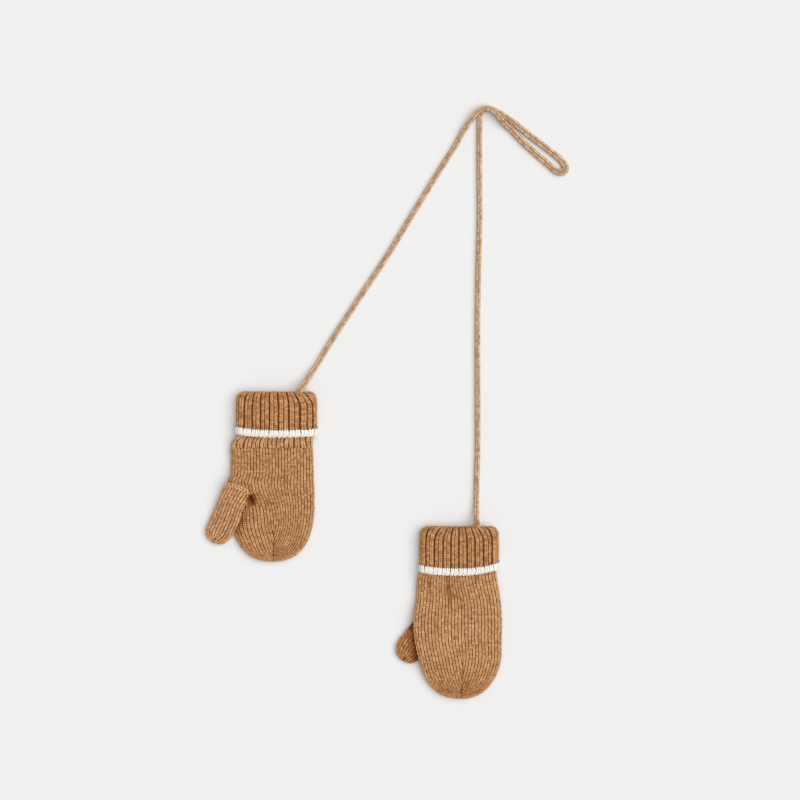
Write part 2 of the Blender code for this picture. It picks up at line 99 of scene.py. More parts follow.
def yarn_group():
    """The look of spun wool, from the legs' own Yarn map and their tint, with painted shade and light
    from their depth.
    """
    group = bpy.data.node_groups.new("spun_wool", "ShaderNodeTree")
    for name in ("Light", "Middle", "Dark", "Fleck"):
        group.interface.new_socket(name, in_out="INPUT", socket_type="NodeSocketColor")
    for name in ("Heather", "Shade"):
        group.interface.new_socket(name, in_out="INPUT", socket_type="NodeSocketFloat")
    group.interface.new_socket("Color", in_out="OUTPUT", socket_type="NodeSocketColor")
    group.interface.new_socket("Height", in_out="OUTPUT", socket_type="NodeSocketFloat")
    nodes, links = group.nodes, group.links

    def add(kind, **settings):
        node = nodes.new(kind)
        for key, value in settings.items():
            setattr(node, key, value)
        return node

    def calculated(operation, first, second):
        node = add("ShaderNodeMath", operation=operation)
        for socket, value in zip(node.inputs, (first, second)):
            if isinstance(value, (int, float)):
                socket.default_value = value
            else:
                links.new(value, socket)
        return node.outputs[0]

    def noise(place, scale, detail):
        node = add("ShaderNodeTexNoise")
        node.inputs["Scale"].default_value = scale
        node.inputs["Detail"].default_value = detail
        links.new(place, node.inputs["Vector"])
        return calculated("SUBTRACT", node.outputs["Fac"], 0.5)

    def ramp(value, low, high, top=1.0):
        node = add("ShaderNodeMapRange")
        links.new(value, node.inputs["Value"])
        node.inputs["From Min"].default_value = low
        node.inputs["From Max"].default_value = high
        node.inputs["To Max"].default_value = top
        return node.outputs[0]

    def blend(share, first, second):
        node = add("ShaderNodeMix", data_type="RGBA")
        for socket, value in ((0, share), (6, first), (7, second)):
            links.new(value, node.inputs[socket])
        return node.outputs[2]

    given = add("NodeGroupInput").outputs
    result = add("NodeGroupOutput").inputs
    yarn_map = add("ShaderNodeSeparateXYZ")
    links.new(add("ShaderNodeUVMap", uv_map="Yarn").outputs["UV"], yarn_map.inputs[0])
    around, along = yarn_map.outputs[0], yarn_map.outputs[1]
    tint = add("ShaderNodeAttribute", attribute_name="tint").outputs["Fac"]
    # depth holds painted light and shade: 1 at a leg's lit middle, less in painted shade, more in painted
    # light.
    depth = add("ShaderNodeAttribute", attribute_name="depth").outputs["Fac"]
    place = add("ShaderNodeTexCoord").outputs["Object"]

    # Plies are ridges that wind round the leg, and fibres are fine streaks along them.
    wound = calculated("ADD", calculated("MULTIPLY", around, PLIES), calculated("MULTIPLY", along, PLY_TURNS))
    ridge = calculated("SINE", calculated("MULTIPLY", wound, 2 * math.pi), 0.0)
    fibre = add("ShaderNodeCombineXYZ")
    for socket, value in zip(fibre.inputs, (wound, along, tint)):
        links.new(value, socket)
    stretch = add("ShaderNodeVectorMath", operation="MULTIPLY")
    stretch.inputs[1].default_value = STREAKS
    links.new(fibre.outputs[0], stretch.inputs[0])
    streaks = noise(stretch.outputs[0], 1.0, 3.0)

    # Heather is a mix of lighter and darker wool, in patches of a stitch or two and in single flecks.
    level = calculated("MULTIPLY", noise(place, PATCHES, 2.0), given["Heather"])
    own = calculated("MULTIPLY", calculated("SUBTRACT", tint, 0.5), TINT_COUNTS)
    level = calculated("ADD", level, own)
    level = calculated("ADD", level, calculated("MULTIPLY", streaks, STREAKS_COUNT))
    colour = blend(ramp(level, -ALL_LIGHT, 0.0), given["Dark"], given["Middle"])
    colour = blend(ramp(level, 0.0, ALL_LIGHT), colour, given["Light"])
    flecked = ramp(noise(place, FLECKS, 1.0), *FLECK_LEVELS, top=FLECK_MOST)
    colour = blend(flecked, colour, given["Fleck"])

    # Painted shade: where the yarn dips, its colour is made darker and deeper, and a ply's groove a little
    # darker than its ridge. A depth above 1 gives painted light.
    dip = calculated("MULTIPLY", calculated("SUBTRACT", 1.0, depth), given["Shade"])
    deeper = add("ShaderNodeGamma")
    links.new(colour, deeper.inputs["Color"])
    links.new(calculated("ADD", 1.0, dip), deeper.inputs["Gamma"])
    light = calculated("ADD", 1 - RIDGE_LIGHT, calculated("MULTIPLY", ridge, RIDGE_LIGHT))
    light = calculated("SUBTRACT", light, calculated("MULTIPLY", dip, DIP_SHADE))
    shaded = add("ShaderNodeVectorMath", operation="SCALE")
    links.new(deeper.outputs[0], shaded.inputs[0])
    links.new(calculated("MAXIMUM", light, DARKEST), shaded.inputs["Scale"])
    links.new(shaded.outputs[0], result["Color"])
    links.new(calculated("ADD", calculated("MULTIPLY", ridge, RIDGE_HIGH), streaks), result["Height"])
    return group


spun_wool = yarn_group()


def wool(name, light, middle, dark, fleck, heather=0.6, shade=0.30, sheen=0.1, relief=0.6):
    """Wool of one colour: matt, with a soft sheen from its loose fibres.

    shade is how strongly painted shade darkens it where its yarn dips.
    """
    made = bpy.data.materials.new(name)
    made.use_nodes = True
    nodes, links = made.node_tree.nodes, made.node_tree.links
    shader = nodes["Principled BSDF"]
    spun = nodes.new("ShaderNodeGroup")
    spun.node_tree = spun_wool
    for socket, colour in (("Light", light), ("Middle", middle), ("Dark", dark), ("Fleck", fleck)):
        spun.inputs[socket].default_value = (*colour, 1)
    spun.inputs["Heather"].default_value = heather
    spun.inputs["Shade"].default_value = shade
    bump = nodes.new("ShaderNodeBump")
    bump.inputs["Strength"].default_value = relief
    bump.inputs["Distance"].default_value = FIBRE_RELIEF * MM
    links.new(spun.outputs["Height"], bump.inputs["Height"])
    links.new(bump.outputs["Normal"], shader.inputs["Normal"])
    links.new(spun.outputs["Color"], shader.inputs["Base Color"])
    shader.inputs["Roughness"].default_value = 0.88
    shader.inputs["Specular IOR Level"].default_value = 0.1
    shader.inputs["Sheen Weight"].default_value = sheen
    shader.inputs["Sheen Roughness"].default_value = 0.5
    shader.inputs["Sheen Tint"].default_value = (*light, 1)
    return made


cord_wool = wool(
    "camel_cord",
    light=(0.90, 0.71, 0.53),
    middle=(0.74, 0.52, 0.335),
    dark=(0.48, 0.28, 0.15),
    fleck=(0.92, 0.78, 0.62),
    heather=0.8,
    shade=0.36,
)
sewing_wool = wool(
    "camel_sewing",
    light=(0.84, 0.56, 0.34),
    middle=(0.70, 0.42, 0.23),
    dark=(0.48, 0.25, 0.12),
    fleck=(0.86, 0.66, 0.46),
)

# A knitted stitch shows as a V of two legs. A leg is thick in its middle and dips at both ends, where it
# goes under the legs of the rows before and after it.
WALE = 2.3  # nominal width of a stitch
COURSE = 1.65  # and its height
LEG_FOOT = (0.12, -0.68)  # across and along, in shares of a wale and a course
LEG_HEAD = (0.27, 0.96)
LEG_WIDE = 0.47
LEG_HIGH = 0.46
LEG_SIDES = 6
# Rings along a leg: share of its length, share of its thickness, height of its middle.
LEG_RINGS = ((0.17, 0.76, -0.38), (0.50, 1.0, -0.20), (0.83, 0.76, -0.38))
LEG_END_HEIGHT = -0.62
# Painted shade darkens each leg towards both of its ends.
LEG_DIP = 1.6  # the larger, the shorter the stretches in which a leg dips into shade


def leg_shape(hand):
    """One leg, right (1) or left (-1): its points across, along and up, its faces and its Yarn map."""
    foot = np.array([LEG_FOOT[0] * WALE, LEG_FOOT[1] * COURSE])
    head = np.array([LEG_HEAD[0] * WALE, LEG_HEAD[1] * COURSE])
    way = (head - foot) / np.linalg.norm(head - foot)
    aside = np.array([way[1], -way[0]])
    points, shares = [(*foot, LEG_END_HEIGHT)], [0.0]
    for share, thick, height in LEG_RINGS:
        for k in range(LEG_SIDES):
            turn = 2 * math.pi * k / LEG_SIDES
            middle = foot + (head - foot) * share + aside * math.cos(turn) * LEG_WIDE * thick
            points.append((*middle, height + math.sin(turn) * LEG_HIGH * thick))
            shares.append(share)
    points.append((*head, LEG_END_HEIGHT))
    shares.append(1.0)

    def corner(ring, side):
        return (ring + side % LEG_SIDES, side / LEG_SIDES)

    last, top = len(points) - 1, 1 + (len(LEG_RINGS) - 1) * LEG_SIDES
    faces = []
    for k in range(LEG_SIDES):
        middle = (k + 0.5) / LEG_SIDES
        faces.append(((0, middle), corner(1, k), corner(1, k + 1)))
        for low in range(1, top, LEG_SIDES):
            high = low + LEG_SIDES
            faces.append((corner(low, k), corner(high, k), corner(high, k + 1), corner(low, k + 1)))
        faces.append((corner(top, k + 1), corner(top, k), (last, middle)))
    if hand < 0:
        faces = [face[::-1] for face in faces]
    return SimpleNamespace(
        points=np.array(points) * (hand / WALE, 1 / COURSE, 1),
        along=np.array(shares),
        sizes=np.array([len(face) for face in faces]),
        faces=[[point for point, _ in face] for face in faces],
        places=[[(around, shares[point]) for point, around in face] for face in faces],
    )


LEGS = (leg_shape(1), leg_shape(-1))


def cloth_of(points, facing):
    """A cloth that closes round, as points[row][column].

    facing is 1 where across, along and out are right-handed, and else -1.
    """
    across = np.roll(points, -1, axis=1) - np.roll(points, 1, axis=1)
    out = np.cross(across, np.gradient(points, axis=0)) * facing
    out /= np.maximum(np.linalg.norm(out, axis=2, keepdims=True), 1e-9)
    return SimpleNamespace(points=points, out=out, facing=facing)


def on_cloth(cloth, row, column, height):
    """Points at fractional rows and columns of a cloth, raised along its outward direction."""
    rows, columns = cloth.points.shape[:2]
    j = np.clip(np.floor(row).astype(int), 0, rows - 2)
    i = np.floor(column).astype(int)
    fj, fi = (row - j)[..., None], (column - i)[..., None]
    i, after = i % columns, (i + 1) % columns

    def between(field):
        low = field[j, i] * (1 - fi) + field[j, after] * fi
        high = field[j + 1, i] * (1 - fi) + field[j + 1, after] * fi
        return low * (1 - fj) + high * fj

    out = between(cloth.out)
    out /= np.maximum(np.linalg.norm(out, axis=-1, keepdims=True), 1e-9)
    return between(cloth.points) + out * height[..., None]


def leg_faces(leg, count, start=0, facing=1):
    """The faces of a number of like legs, one after another: their corners, sizes and Yarn map."""
    corners = np.array([v for face in leg.faces for v in face[::facing]])
    places = np.array([p for face in leg.places for p in face[::facing]])
    base = start + len(leg.along) * np.arange(count)
    return (base[:, None] + corners).ravel(), np.tile(leg.sizes, count), np.tile(places, (count, 1))


def painted_light_along(leg, shade):
    """The painted light at each point of a leg: less at both ends, where it dips, and less in painted shade.
    """
    return 1 - np.abs(2 * leg.along - 1) ** LEG_DIP - 2 * shade


BAKE_MARGIN = 0.06  # round a leg's cell on the bake map
SQUEEZED = 0.25  # height below which the table presses yarn flatter


def bake_cells(places, count):
    """Gives each of a number of equal legs a cell of its own on the bake map."""
    wide = math.ceil(math.sqrt(count))
    cell = np.repeat(np.arange(count), len(places) // count)
    corner = np.stack([cell % wide, cell // wide], axis=1)
    return (corner + BAKE_MARGIN + (1 - 2 * BAKE_MARGIN) * places) / wide


def add_yarn(name, points, faces, legs, tints, painted_light_levels, finish):
    """A smooth mesh of legs of yarn. What would reach the table or pass it is squeezed just above it."""
    loops, sizes, places = faces
    low = np.minimum(points[:, 2], SQUEEZED)
    points[:, 2] += SQUEEZED * np.exp(low / SQUEEZED - 1) - low
    mesh = bpy.data.meshes.new(name)
    mesh.vertices.add(len(points))
    mesh.vertices.foreach_set("co", (points * MM).astype(np.float32).ravel())
    mesh.loops.add(len(loops))
    mesh.loops.foreach_set("vertex_index", loops.astype(np.int32))
    mesh.polygons.add(len(sizes))
    mesh.polygons.foreach_set("loop_start", np.append(0, np.cumsum(sizes)[:-1]).astype(np.int32))
    mesh.update(calc_edges=True)
    mesh.polygons.foreach_set("use_smooth", np.ones(len(sizes), bool))
    for key, numbers in (("Yarn", places), ("OFBake", bake_cells(places, legs))):
        mesh.uv_layers.new(name=key).data.foreach_set("uv", numbers.astype(np.float32).ravel())
    # tint is each stitch's own random tint, and depth its painted light and shade.
    for key, numbers in (("tint", tints), ("depth", painted_light_levels)):
        mesh.attributes.new(key, "FLOAT", "POINT").data.foreach_set("value", numbers.astype(np.float32))
    mesh.materials.append(finish)
    return add_object(name, mesh)


# How far stitches stray: shares of their width and height, millimetres up or down, share of their relief.
WANDER = (0.03, 0.035, 0.05, 0.05)


def knit(name, cloth, stitches, finish, seed, lift=0.0, full=1.0, keep=None, dark=None):
    """Knits stitches, given as rows of (row, column, half width in columns), on a cloth.

    keep and dark, if given, tell from the places of the stitches which are made, and how much painted shade
    each one carries, painted light where it is below 0. full is the share of its relief that a stitch has,
    and lift raises it.
    """
    stitches = np.asarray(stitches, float)
    spots = on_cloth(cloth, stitches[:, 0], stitches[:, 1], np.zeros(len(stitches)))
    if keep is not None:
        kept = keep(spots)
        stitches, spots = stitches[kept], spots[kept]
    row, column, half = stitches.T
    shaded = np.zeros(len(row)) if dark is None else dark(spots)
    dice = np.random.default_rng(seed)
    tint = dice.random(len(row))
    wander = dice.normal(0, 1, (len(row), 4)) * WANDER
    made, start = [], 0
    for leg in LEGS:
        across, along, height = leg.points.T
        here = on_cloth(
            cloth,
            row[:, None] + along + wander[:, 1:2],
            column[:, None] + 2 * half[:, None] * (across + wander[:, :1]),
            height * full * (1 + wander[:, 3:4]) + wander[:, 2:3] + lift,
        )
        faces = leg_faces(leg, len(row), start, cloth.facing)
        tints = np.repeat(tint, len(leg.along))
        made.append((here.reshape(-1, 3), *faces, tints, painted_light_along(leg, shaded[:, None]).ravel()))
        start += len(tints)
    points, *faces, tints, painted_light_levels = [np.concatenate(parts) for parts in zip(*made)]
    return add_yarn(name, points, faces, len(LEGS) * len(row), tints, painted_light_levels, finish)


def all_stitches(rows, columns, half):
    """Every pair of these rows and columns, as stitches of one width."""
    row, column = np.meshgrid(rows, columns, indexing="ij")
    return np.stack([row.ravel(), column.ravel(), np.full(row.size, half)], axis=1)


STRAND_END = 0.8  # thickness of a strand near its ends, as a share of its middle's


def sew(name, first, second, out, finish, seed, wide, arch=0.5, dark=0.0, light=0.0):
    """Strands of yarn from each first point to its second one, arched outwards and thickest halfway.

    dark is how much painted shade they carry, painted light where it is below 0, and light how far their
    tints keep to the lighter wool.
    """
    leg = LEGS[0]
    dice = np.random.default_rng(seed)
    span = second - first
    long = np.linalg.norm(span, axis=1, keepdims=True)
    side = np.cross(span / long, out)
    points = []
    for k, share in enumerate(leg.along):
        ring = 0 < k < len(leg.along) - 1
        turn = 2 * math.pi * ((k - 1) % LEG_SIDES) / LEG_SIDES
        bulge = 4 * share * (1 - share)
        thick = wide * (STRAND_END + (1 - STRAND_END) * bulge) if ring else 0.0
        raised = out * (math.sin(turn) * thick + arch * (bulge - 1))
        points.append(first + span * share + side * math.cos(turn) * thick + raised)
    points = np.stack(points, axis=1).reshape(-1, 3)
    tints = np.repeat(light + (1 - light) * dice.random(len(first)), len(leg.along))
    painted_light_levels = np.tile(painted_light_along(leg, dark), len(first))
    return add_yarn(name, points, leg_faces(leg, len(first)), len(first), tints, painted_light_levels, finish)


def sew_on(name, cloth, ends, finish, seed, height, **shape):
    """Strands on a cloth, with their ends given as rows of (row, column, row, column)."""
    flat = np.full(len(ends), height)
    first = on_cloth(cloth, ends[:, 0], ends[:, 1], flat)
    second = on_cloth(cloth, ends[:, 2], ends[:, 3], flat)
    row, column = (ends[:, 0] + ends[:, 2]) / 2, (ends[:, 1] + ends[:, 3]) / 2
    out = on_cloth(cloth, row, column, flat + 1) - on_cloth(cloth, row, column, flat)
    return sew(name, first, second, out, finish, seed, **shape)


# The cord runs from fold to fold. Its first leg passes over the second one where they meet, and the slack
# between them lies in a narrow loop. Its route is x, y and the height of its middle.
CORD = 4.2  # diameter
CORD_CORE = 3.2
CORD_WALES = 5
CORD_COURSE = 1.95
CORD_HALF = 0.93  # half a stitch's width, in half-wales
CORD_ROWS = (0.6, 1.4)  # how far from its ends the first and last rows are
ROUTE_STEPS = 24  # to each part of the route
ROUTE = (
    (-41.3, 112.0, 12.4),
    (-41.0, 113.6, 12.9),
    (-40.5, 115.6, 11.3),
    (-38.9, 118.4, 8.6),
    (-36.6, 121.3, 6.4),
    (-32.6, 127.7, 4.0),
    (-26.9, 136.5, 2.2),
    (-20.4, 147.5, 2.1),
    (0.0, 179.0, 2.1),
    (27.6, 221.0, 2.1),
    (46.8, 252.7, 2.1),
    (66.4, 284.3, 2.1),
    (76.3, 300.0, 2.3),
    (82.0, 310.6, 3.3),
    (87.6, 318.4, 5.2),
    (92.4, 324.2, 6.6),
    (96.4, 326.8, 6.7),
    (100.7, 327.2, 6.7),
    (104.8, 324.8, 6.6),
    (109.0, 320.0, 5.4),
    (113.3, 315.4, 3.5),
    (118.6, 310.6, 2.2),
    (127.4, 301.3, 2.1),
    (137.4, 292.6, 2.1),
    (147.4, 283.9, 2.1),
    (151.6, 280.4, 2.1),
    (154.9, 279.3, 2.1),
    (158.0, 280.7, 2.1),
    (158.9, 283.3, 2.1),
    (156.9, 286.6, 2.1),
    (151.5, 291.9, 2.1),
    (142.1, 299.2, 2.1),
    (132.1, 306.7, 2.1),
    (122.1, 314.6, 2.1),
    (114.6, 320.5, 2.1),
    (109.3, 323.9, 2.1),
    (104.1, 326.6, 2.1),
    (99.3, 327.3, 2.1),
    (95.8, 325.2, 2.1),
    (94.4, 320.8, 2.1),
    (94.2, 314.0, 2.1),
    (94.0, 285.0, 2.1),
    (94.3, 250.0, 2.1),
    (93.3, 205.0, 2.1),
    (92.7, 160.0, 2.1),
    (92.8, 100.0, 2.1),
    (92.7, 70.0, 2.1),
    (92.1, 50.0, 2.1),
    (91.9, 36.0, 2.4),
    (91.7, 26.0, 4.2),
    (91.5, 18.5, 8.0),
    (91.5, 15.8, 10.2),
    (91.5, 13.9, 11.2),
    (91.5, 12.2, 10.2),
)
# How far from each end the cord starts to flatten, and how wide and how thick it lies at its ends.
FLARE = 10.0
FLARE_CURVE = 1.5  # the larger, the nearer to its end it flattens
FLARE_WIDE = (1.45, 1.85)
FLARE_THICK = 0.72
# The cord lies looser and wider in its loop, and most where it turns back: x and y of the turn, how far
# the loop reaches from it, and by what shares the cord is wider.
TURN = (157.6, 280.2)
LOOP = 68.0
LOOP_FADE = 15.0
LOOP_WIDER = 0.22
TURN_WIDER = 0.2
TURN_REACH = 7.0
STITCH_PROUD = 0.15  # how far the stitches stand out from their cloth
# The cord's ends are drawn tight by their sewing, and painted shade makes them darker and deeper in colour.
DRAWN_SHADE = 0.5
DRAWN_REACH = 5.0


def smooth_route(points):
    """Many points along a curve that passes through each of the route's points."""
    knots = np.array(points, float)
    knots = np.vstack([2 * knots[0] - knots[1], knots, 2 * knots[-1] - knots[-2]])
    found = []
    for a, b, c, d in zip(knots, knots[1:], knots[2:], knots[3:]):
        t1 = math.sqrt(np.linalg.norm(b - a))
        t2 = t1 + math.sqrt(np.linalg.norm(c - b))
        t3 = t2 + math.sqrt(np.linalg.norm(d - c))
        for t in np.linspace(t1, t2, ROUTE_STEPS, endpoint=False):
            ab = a + (b - a) * t / t1
            bc = b + (c - b) * (t - t1) / (t2 - t1)
            cd = c + (d - c) * (t - t2) / (t3 - t2)
            ac = ab + (bc - ab) * t / t2
            bd = bc + (cd - bc) * (t - t1) / (t3 - t1)
            found.append(ac + (bd - ac) * (t - t1) / (t2 - t1))
    return np.array(found + [knots[-2]])


def travelled(line):
    """How far along a line each of its points is."""
    return np.concatenate([[0.0], np.cumsum(np.linalg.norm(np.diff(line, axis=0), axis=1))])


def read_along(line, at):
    """The points of a line at the given distances along it."""
    far = travelled(line)
    return np.stack([np.interp(at, far, column) for column in line.T], axis=1)


def evenly(line, count):
    """The line again, with this many points the same distance apart."""
    return read_along(line, np.linspace(0, travelled(line)[-1], count))


def tube_round(line, wide, thick, columns):
    """A ring of points round each point of a line, this far to its sides and above it."""
    way = np.gradient(line, axis=0)
    way /= np.linalg.norm(way, axis=1, keepdims=True)
    side = np.cross(way, (0.0, 0.0, 1.0))
    side /= np.linalg.norm(side, axis=1, keepdims=True)
    above = np.cross(side, way)
    turn = np.pi / 2 + 2 * np.pi * np.arange(columns) / columns
    side, above = (side * wide[:, None])[:, None], (above * thick[:, None])[:, None]
    return line[:, None] + side * np.cos(turn)[:, None] + above * np.sin(turn)[:, None]


def add_core(name, line, thickness, finish):
    """A round core along a line."""
    curve = bpy.data.curves.new(name, "CURVE")
    curve.dimensions = "3D"
    curve.bevel_depth = thickness / 2 * MM
    curve.bevel_resolution = 2
    curve.use_fill_caps = True
    spline = curve.splines.new("POLY")
    spline.points.add(len(line) - 1)
    spline.points.foreach_set("co", np.append(line * MM, np.ones((len(line), 1)), axis=1).ravel())
    curve.materials.append(finish)
    return add_object(name, curve)


def ground(name, colour):
    """Plain wool of one colour for the walls deep between the stitches; where it is given much darker than
    the yarn, that is painted shade.
    """
    same = {"light": colour, "middle": colour, "dark": colour, "fleck": colour}
    return wool(name, **same, shade=0.0, sheen=0.0, relief=0.0)


# The cord's core is much darker than its yarn: painted shade between the stitches.
cord_shaded_ground = ground("cord_shaded_ground", (0.32, 0.17, 0.08))
cord_line = smooth_route(ROUTE)
cord_line[:, 2] = np.maximum(cord_line[:, 2], CORD / 2)
cord_line = evenly(cord_line, int(travelled(cord_line)[-1] / CORD_COURSE) + 1)
cord_core = add_core("cord_core", cord_line, CORD_CORE, cord_shaded_ground)
gone = travelled(cord_line)
flare = np.stack([np.clip(1 - far / FLARE, 0, 1) ** FLARE_CURVE for far in (gone, gone[-1] - gone)])
turning = np.abs(gone - gone[np.linalg.norm(cord_line[:, :2] - TURN, axis=1).argmin()])
swell = LOOP_WIDER * np.clip((LOOP - turning) / LOOP_FADE, 0, 1)
swell = swell + TURN_WIDER * np.exp(-((turning / TURN_REACH) ** 2))
cord_wide = (CORD / 2 - STITCH_PROUD) * (1 + (np.array(FLARE_WIDE) - 1) @ flare + swell)
cord_thick = (CORD / 2 - STITCH_PROUD) * (1 - (1 - FLARE_THICK) * flare.sum(axis=0))
cord_cloth = cloth_of(tube_round(cord_line, cord_wide, cord_thick, 2 * CORD_WALES), facing=-1)
cord_rows = np.arange(CORD_ROWS[0], len(cord_line) - CORD_ROWS[1])
cord_stitches = all_stitches(cord_rows, 2 * np.arange(CORD_WALES) + 1, CORD_HALF)


def shade_on_cord(spots):
    """How much painted shade the cord's stitches carry, most at its ends."""
    far = [np.linalg.norm(spots - end, axis=1) for end in (cord_line[0], cord_line[-1])]
    return DRAWN_SHADE * np.exp(-((np.minimum(*far) / DRAWN_REACH) ** 2))


cord_knit = knit("cord_stitches", cord_cloth, cord_stitches, cord_wool, seed=5, dark=shade_on_cord)

# Strands of the same yarn, over and over, hold both of its ends: x and y of a strand's ends and its height.
HELD = (
    (-43.6, 114.4, -41.2, 112.6, 13.9),
    (-43.2, 112.2, -40.6, 114.6, 14.0),
    (-41.6, 114.6, -39.2, 112.4, 14.1),
    (-41.4, 111.8, -38.8, 113.8, 14.0),
    (-43.6, 112.6, -41.8, 111.2, 13.6),
    (-39.6, 113.9, -37.8, 112.3, 13.4),
    (89.3, 18.6, 93.7, 18.8, 10.6),
    (89.3, 16.6, 88.9, 13.6, 11.8),
    (90.6, 16.8, 90.5, 13.2, 12.5),
    (92.2, 16.8, 92.3, 13.2, 12.5),
    (93.5, 16.6, 93.9, 13.6, 11.8),
)
held = np.array(HELD)
# The strands carry some painted shade.
cord_sewing = sew(
    "cord_sewing",
    held[:, [0, 1, 4]],
    held[:, [2, 3, 4]],
    np.array([[0.0, 0.0, 1.0]]),
    sewing_wool,
    seed=6,
    wide=0.38,
    dark=0.3,
)


def dress(piece, node):
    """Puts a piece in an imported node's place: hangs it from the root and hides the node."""
    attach(piece, "root")
    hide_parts(node)


for piece in (cord_core, cord_knit, cord_sewing):
    dress(piece, "cord")

# The left hand is a tube of camel jersey, knitted from the wrist to its gathered tip and pressed flat. It
# lies palm up. The mitten's tables say where its tubes' sides, undersides and tops are from row to row.
JERSEY = 2.0  # thickness of the hand's and thumbs' cloth
RIB = 2.2  # thickness of the ribbed cloth
RIB_DEPTH = 1.2  # how deep the furrows between the ribs are
FOLD_GAP = 0.5  # between the cuff's two layers
FOLDED = RIB + FOLD_GAP  # from the inner layer's face to the outer one's
FOLD_LEVEL = 2.0  # how far below its fold the ribs' places at the fold are read
CUFF_LEVEL = 11.0  # and how far below it those on the open cuff
SEAM = 0.3  # between pieces that are sewn together
STRIPE = 5.4  # height of the cast-on edge
STRIPE_BULGE = 0.8  # how far the cast-on edge stands proud of the ribs
SIDE_ROUND = 5.0  # how far in from its sides a flat tube rounds off
TIP_ROUND = 8.0  # how far back from its tip it rounds off
ROUND_GROWS = 0.6  # share of an offset by which the sides' rounding grows
ROUND_MOST = 0.8  # most of its half width that a narrow tube rounds off over
CROWN = 0.12  # share of its height that a tube's top loses towards the sides
WIDEST = 0.45  # level of a tube's sides, as a share of its height
# At the thumb's root the palm drops along a ramp, from the thumb's top to the cloth that the thumb lies on.
RAMP_START = -1.5  # from the thumb's root
RAMP = 7.5  # its length
RAMP_INSIDE = 1.5  # how far inside the thumb's outline this starts to fade, and how far it takes
RAMP_REACH = 8.0
RISE_BEFORE = 15.0  # how far before the ramp the palm starts to rise to the thumb on top of it
OVER_THUMB = 0.4  # room between a thumb beneath and the hand over it
SWELL_START = -14.0  # from the thumb's root, where the hand starts to rise over it, and how far it takes
SWELL = 24.0
CLOSED_GAP = 0.5  # between the hand's panels where the thumb presses them together
ROOT_DROP = 0.42  # how far down the ramp the thumb's root starts
WALL_DRAW = 0.5  # how far the walls are drawn in beneath the stitches
WRIST_LAP = 0.6  # how far the hand's first stitches lap over its seam
DENTED = (1.0, 6.0)  # heights from which a trough takes hold, and at which it is as deep as it says

# X and y: where u and v start, on the fold. Hand rows: v, left and right side, underside at the left and at
# the right, height. Thumb rows: the same, with the distance from the thumb's root for v. Cap and length:
# where a tip starts to close and where it ends, the fuller the more blunt it is. Wrist: v of the end of
# the ribs. Fold furrow: how deep the furrows are at the fold. Edge: v of the open edge of the cuff at its
# left, middle and right. Furrows: u where they cross the fold and the open cuff, or the start and the end
# of the ribs that show below it. Thumb root and turn: u and v of the root, and how far the thumb is
# turned from v. Seam: x of the line at which the inner wales end, and how closely the wales left and right
# of it keep to their sides. Drifts: p and width of a group of wales, how far it leans, and the levels
# between which it does. Painted shade all over: painted shade on the whole top, and painted light where
# it is below 0. Dents: u, v, heading, half length, half width and depth of a soft trough, and how much
# painted shade it holds; one with no depth is only painted shade.
LEFT = SimpleNamespace(
    name="left",
    x=-60.9,
    y=114.9,
    hand=SimpleNamespace(
        rows=(
            (0, -22.2, 27.8, 2.7, 2.7, 7.0),
            (3, -24.3, 29.9, 2.7, 2.7, 7.0),
            (8, -25.1, 30.7, 2.7, 2.7, 7.0),
            (32, -25.2, 30.7, 2.7, 2.7, 7.0),
            (35, -29.0, 30.2, 2.7, 2.7, 6.9),
            (39, -31.5, 30.0, 1.9, 1.9, 7.0),
            (44, -31.8, 30.2, 0.8, 0.8, 7.4),
            (50, -31.4, 30.3, 0.0, 0.0, 7.8),
            (62, -31.7, 30.7, 0.0, 0.0, 7.8),
            (68, -34.2, 30.9, 0.0, 0.0, 7.8),
            (74, -34.0, 31.2, 0.0, 0.0, 7.8),
            (84, -31.4, 31.2, 0.0, 0.0, 7.8),
            (102, -33.2, 31.2, 0.0, 0.0, 7.8),
            (114, -31.8, 31.2, 0.0, 0.0, 7.8),
            (128, -32.0, 31.3, 0.0, 0.0, 7.8),
        ),
        cap=84.4,
        length=127.5,
        blunt=2.4,
    ),
    wrist=42.2,
    fold_furrow=0.4,
    edge=(31.9, 34.4, 33.4),
    furrows=(
        (-22.0, -24.5),
        (-16.7, -18.4),
        (-11.6, -12.1),
        (-5.3, -5.3),
        (0.7, 1.6),
        (8.2, 9.4),
        (13.4, 17.9),
        (21.9, 28.0),
    ),
    wrist_furrows=(
        (-20.1, -20.9),
        (-14.7, -15.2),
        (-9.1, -9.0),
        (-3.8, -3.0),
        (2.2, 3.6),
        (7.8, 9.2),
        (14.6, 16.7),
        (22.7, 26.7),
    ),
    thumb=SimpleNamespace(
        rows=(
            (0, -10.9, 10.9, 4.0, 4.8, 6.3),
            (12, -10.2, 9.9, 2.6, 5.0, 6.4),
            (24, -9.2, 11.7, 1.2, 4.3, 6.6),
            (33, -8.8, 12.1, 0.0, 1.4, 6.6),
            (37, -8.9, 11.9, 0.0, 0.0, 6.4),
            (46, -8.9, 11.9, 0.0, 0.0, 6.4),
        ),
        cap=33.0,
        length=45.6,
        blunt=2.4,
    ),
    thumb_root=(-25.1, 72.2),
    thumb_turn=math.radians(27.6),
    thumb_on_top=True,
    seam=(0.04, 0.85, 0.55),
    drifts=((-0.3, 1.1, 0.25, 64.0, 108.0),),
    tone=0.0,
    dents=(
        (1.1, 117.0, 0.0, 9.0, 2.2, 0.4, 0.15),
        (-16.2, 80.4, 10.0, 3.6, 2.7, 1.0, 2.6),
        (-21.0, 94.0, -25.6, 13.0, 2.2, 0.0, 0.45),
        (-3.0, 82.5, 84.0, 13.0, 2.2, 0.5, 0.22),
    ),
)
HALF_WALES = 56  # half-wale lines across a hand's top, and as many beneath
STRAIGHT_TO = 66.0  # rows run straight across the hand up to here
